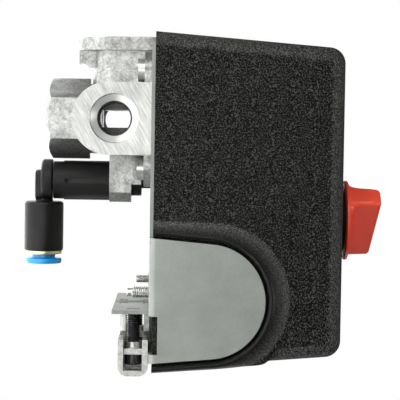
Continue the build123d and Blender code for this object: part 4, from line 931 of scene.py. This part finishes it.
class SWITCH_OT_screws(bpy.types.Operator):
    """Build the threaded ends, the clamp screws and the threads in the ports"""

    bl_idname = "switch.screws"
    bl_label = "Threads and screws"

    def execute(self, context):
        zinc = plated_steel("bright_zinc", (0.36, 0.36, 0.35), (0.7, 0.7, 0.68), 0.3)
        black = plated_steel("black_zinc", (0.012, 0.012, 0.012), (0.05, 0.05, 0.05), 0.38, 0.6)
        low, high = (corner.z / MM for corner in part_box("earth_screw"))
        turned = (pin(1.3, low, low + 1.9, 0.25), pin(3.5, high - 2.4, high, 0.2, 0.6))
        piece = screw_in_z("earth_screw", 2.0, 0.7, low + 1.6, high - 2.0, turned)
        put(piece, "base", zinc, "screw_steel", "earth_screw")

        low, high = (corner.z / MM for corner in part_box("block_screw"))
        turned = (pin(1.75, high - 1.8, high, 0, 0.4),)
        piece = screw_in_z("block_screw", 1.5, 0.5, low, high - 1.5, turned)
        put(piece, "base", zinc, "screw_steel", "block_screw")

        for name in ("front", "rear"):
            node = f"clamp_screw_{name}"
            low, high = (corner.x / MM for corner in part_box(node))
            at = middle(node)
            at[0] = 0
            start = at + np.array([low * MM, 0, 0])
            wall = thread(2.25, 0.42, 0.7, high - CLAMP_HEAD - low, start, "x")
            under = high - CLAMP_HEAD - 0.2
            floor = high - CLAMP_SOCKET_DEPTH
            head = [(0.02, under), (CLAMP_HEAD_R, under), (CLAMP_HEAD_R, high)]
            socket = [(CLAMP_SOCKET_R, high), (CLAMP_SOCKET_R, floor), (0.02, floor)]
            outline = rounded(head + socket, [0, 0.2, 0.4, 0.1, 0, 0], closed=False)
            parts = Surfaces().add(wall, close_columns=True, cap_ends=True)
            parts.turn(outline, at, "x", 48)
            piece = parts.make(f"{node}_threaded", sharp=25)
            put(piece, f"{name}_clamp_screw", black, "black_screw", node)

        # the threads inside the ports are painted dark: shade in the bores
        shaded_bore_wall = plated_steel("bore_wall_painted_shade", (0.05, 0.05, 0.048), (0.16, 0.16, 0.155), 0.42, 0.7)
        length = PORT_THREAD_LENGTH
        reach = PORT_REACH - PORT_THREAD_START
        starts = (
            ("y", (0, -reach, PORT_Z)),
            ("y", (0, reach - length, PORT_Z)),
            ("x", (-reach, 0, PORT_Z)),
            ("z", (0, 0, 0.3)),
        )
        threads = Surfaces()
        for axis, start in starts:
            at = np.array(start) * MM
            inner = thread(PORT_CREST_R, 0.36, PORT_PITCH, length, at, axis, 64, inside=True)
            outer = lathe(np.array([(PORT_WALL_R, length), (PORT_WALL_R, 0)]), at, axis, 64)
            wall = np.concatenate([inner, outer])
            threads.add(wall, close_rows=True, close_columns=True)
        put(threads.make("port_threads", sharp=50), "base", shaded_bore_wall, "cast_aluminium")
        return {"FINISHED"}


# ---- pieces kept from the frame
class SWITCH_OT_metalwork(bpy.types.Operator):
    """Finish the casting, the base sheet, the valve and the clamps with rounded edges"""

    bl_idname = "switch.metalwork"
    bl_label = "Casting, sheet and clamps"

    def execute(self, context):
        finish = settings_of("finish")
        casting = cast_aluminium(finish)
        sheet = galvanised_sheet(finish)
        strap = plated_steel("dull_zinc", (0.24, 0.246, 0.23), (0.47, 0.476, 0.453), 0.36)
        colour = (0.005, 0.005, 0.0046)
        valve = moulded_plastic("valve_plastic", colour, 0.4, grain=0.03, Specular_IOR_Level=0.17)
        softened("manifold", "manifold_casting", "base", casting, "cast_aluminium", 0.45, 3)
        softened("base_frame", "base_sheet", "base", sheet, "galvanised", 0.32)
        softened("unloader_body", "valve_moulding", "base", valve, "valve_black", 0.25)
        softened("unloader_plunger", "plunger_moulding", "plunger", valve, "valve_black", 0.35)
        for name in ("front", "rear"):
            body = f"{name}_clamp"
            softened(f"strap_{name}", f"strap_{name}_sheet", body, strap, "zinc_strap", 0.25)
            softened(f"saddle_{name}", f"saddle_{name}_turned", body, strap, "zinc_strap", 0.2)
        return {"FINISHED"}


class SWITCH_OT_workings(bpy.types.Operator):
    """Give the inner pieces their finishes"""

    bl_idname = "switch.workings"
    bl_label = "Inner pieces"

    def execute(self, context):
        wire = plated_steel("spring_wire", (0.3, 0.3, 0.3), (0.5, 0.5, 0.5), 0.25)
        for name in ("main", "diff"):
            spring = f"{name}_spring"
            stretched(spring, f"{spring}_low", wire, (0, 0.5))
            stretched(spring, f"{spring}_high", wire, (0.5, 1))
        stretched("contact_springs", "contact_spring_coils", wire)
        stretched("unloader_spring", "unloader_spring_coils", wire)
        finishes = {
            "screw_steel": plated_steel("zinc_screws", (0.4, 0.4, 0.39), (0.72, 0.72, 0.7), 0.3),
            "galvanised": bpy.data.materials["galvanised_sheet"],
            "rubber": rubber(),
            "brass": bpy.data.materials["brass"],
            "bakelite": moulded_plastic("bakelite", (0.05, 0.035, 0.028), 0.4, 0.02, 0.2),
            "cast_aluminium": bpy.data.materials["cast_aluminium"],
            "cover_black": bpy.data.materials["cover_plastic"],
        }
        others = moulded_plastic("inner_plastic", (0.03, 0.03, 0.03), 0.45)
        for part in frame["record"]["subparts"]:
            node = frame["nodes"][part["node"]]
            if not node.hide_render:
                node.data.materials.clear()
                node.data.materials.append(finishes.get(part["material_slot"], others))
        return {"FINISHED"}


# ---- stage
FLOOR_DROP = 60  # of the backdrop below the object's lowest point
FLOOR_R = 400


class SWITCH_OT_stage(bpy.types.Operator):
    """Add the pale floor, the studio lights and the camera"""

    bl_idname = "switch.stage"
    bl_label = "Stage"

    def execute(self, context):
        scene = bpy.context.scene
        scene.view_settings.view_transform = "Standard"
        scene.view_settings.look = "None"
        floor_z = CAD_BOX[0].z / MM - FLOOR_DROP
        disc = np.array([(radius, floor_z) for radius in (20, 200, FLOOR_R)])
        floor = Surfaces().turn(disc, (0, 0, 0)).make("floor")
        paper = Finish("pale_paper", (0.85, 0.85, 0.85), 0.8)
        paper.shader.inputs["Emission Color"].default_value = (1, 1, 1, 1)
        paper.shader.inputs["Emission Strength"].default_value = 0.7
        floor.data.materials.append(paper.material)
        scene.world = studio_world()
        lights = (
            ("key", (-0.65, -0.80, 0.08), 0.45, 3.4),
            ("front", (0.05, -1.00, -0.05), 0.45, 2.0),
            ("low", (0.85, 0.45, 0.15), 0.40, 1.1),
            ("above", (0.10, -0.25, 1.00), 0.30, 2.6),
            ("back", (0.00, 1.00, 0.10), 0.55, 2.2),
        )
        for name, place, size, power in lights:
            light = bpy.data.lights.new(name, "AREA")
            light.size = size
            light.energy = power
            aim(shown(name, light), place, target=(0.028, 0, 0.052), upward=(0, 0, 1))
        camera = bpy.data.cameras.new("camera")
        camera.sensor_width = 36.0
        camera.lens = 136.4
        camera.clip_start = 0.01
        scene.camera = shown("camera", camera)
        place = (0.0051, -0.528, 0.044)
        aim(scene.camera, place, target=(0.0277, 0, 0.0529), upward=(-1, 0, 0), roll=0.9)
        return {"FINISHED"}


def studio_world():
    """A white backdrop for the camera, and a dimmer room for the light that reaches the object."""
    world = bpy.data.worlds.new("studio")
    world.use_nodes = True
    tree = world.node_tree
    room = tree.nodes["Background"]
    room.inputs["Color"].default_value = (1, 1, 1, 1)
    room.inputs["Strength"].default_value = 0.12
    backdrop = tree.nodes.new("ShaderNodeBackground")
    backdrop.inputs["Color"].default_value = (1, 1, 1, 1)
    ray = tree.nodes.new("ShaderNodeLightPath")
    mix = tree.nodes.new("ShaderNodeMixShader")
    tree.links.new(ray.outputs["Is Camera Ray"], mix.inputs[0])
    tree.links.new(room.outputs[0], mix.inputs[1])
    tree.links.new(backdrop.outputs[0], mix.inputs[2])
    tree.links.new(mix.outputs[0], tree.nodes["World Output"].inputs["Surface"])
    return world


def aim(obj, place, target, upward, roll=0.0):
    """Points an object's -Z at a target with its +Y towards upward, then rolls it by degrees."""
    ahead = np.subtract(target, place)
    ahead = ahead / np.linalg.norm(ahead)
    right = np.cross(ahead, upward)
    right /= np.linalg.norm(right)
    above = np.cross(right, ahead)
    turn = math.radians(roll)
    rolled_right = math.cos(turn) * right + math.sin(turn) * above
    rolled_above = math.cos(turn) * above - math.sin(turn) * right
    basis = np.eye(4)
    basis[:3, 0] = rolled_right
    basis[:3, 1] = rolled_above
    basis[:3, 2] = -ahead
    basis[:3, 3] = place
    obj.matrix_world = Matrix(basis.tolist())


# ---- panel and registration
OPERATORS = (
    SWITCH_OT_cover,
    SWITCH_OT_knob,
    SWITCH_OT_elbow,
    SWITCH_OT_screws,
    SWITCH_OT_metalwork,
    SWITCH_OT_workings,
    SWITCH_OT_stage,
)


class SWITCH_PT_pieces(bpy.types.Panel):
    """Lists the settings and the operators"""

    bl_idname = "SWITCH_PT_pieces"
    bl_label = "Pressure Switch"
    bl_space_type = "VIEW_3D"
    bl_region_type = "UI"
    bl_category = "Pressure Switch"

    def draw(self, context):
        for name, group in SETTINGS.items():
            box = self.layout.box()
            box.label(text=name.capitalize())
            for field in group.__annotations__:
                box.prop(settings_of(name), field)
        for operator in OPERATORS:
            self.layout.operator(operator.bl_idname)


CLASSES = (*SETTINGS.values(), *OPERATORS, SWITCH_PT_pieces)


def register():
    for cls in CLASSES:
        bpy.utils.register_class(cls)
    for name, group in SETTINGS.items():
        setattr(bpy.types.Scene, f"switch_{name}", bpy.props.PointerProperty(type=group))


def unregister():
    for name in SETTINGS:
        delattr(bpy.types.Scene, f"switch_{name}")
    for cls in reversed(CLASSES):
        bpy.utils.unregister_class(cls)


def main():
    """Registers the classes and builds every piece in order."""
    register()
    for operator in OPERATORS:
        group, name = operator.bl_idname.split(".")
        getattr(getattr(bpy.ops, group), name)()


if __name__ == "__main__":
    main()
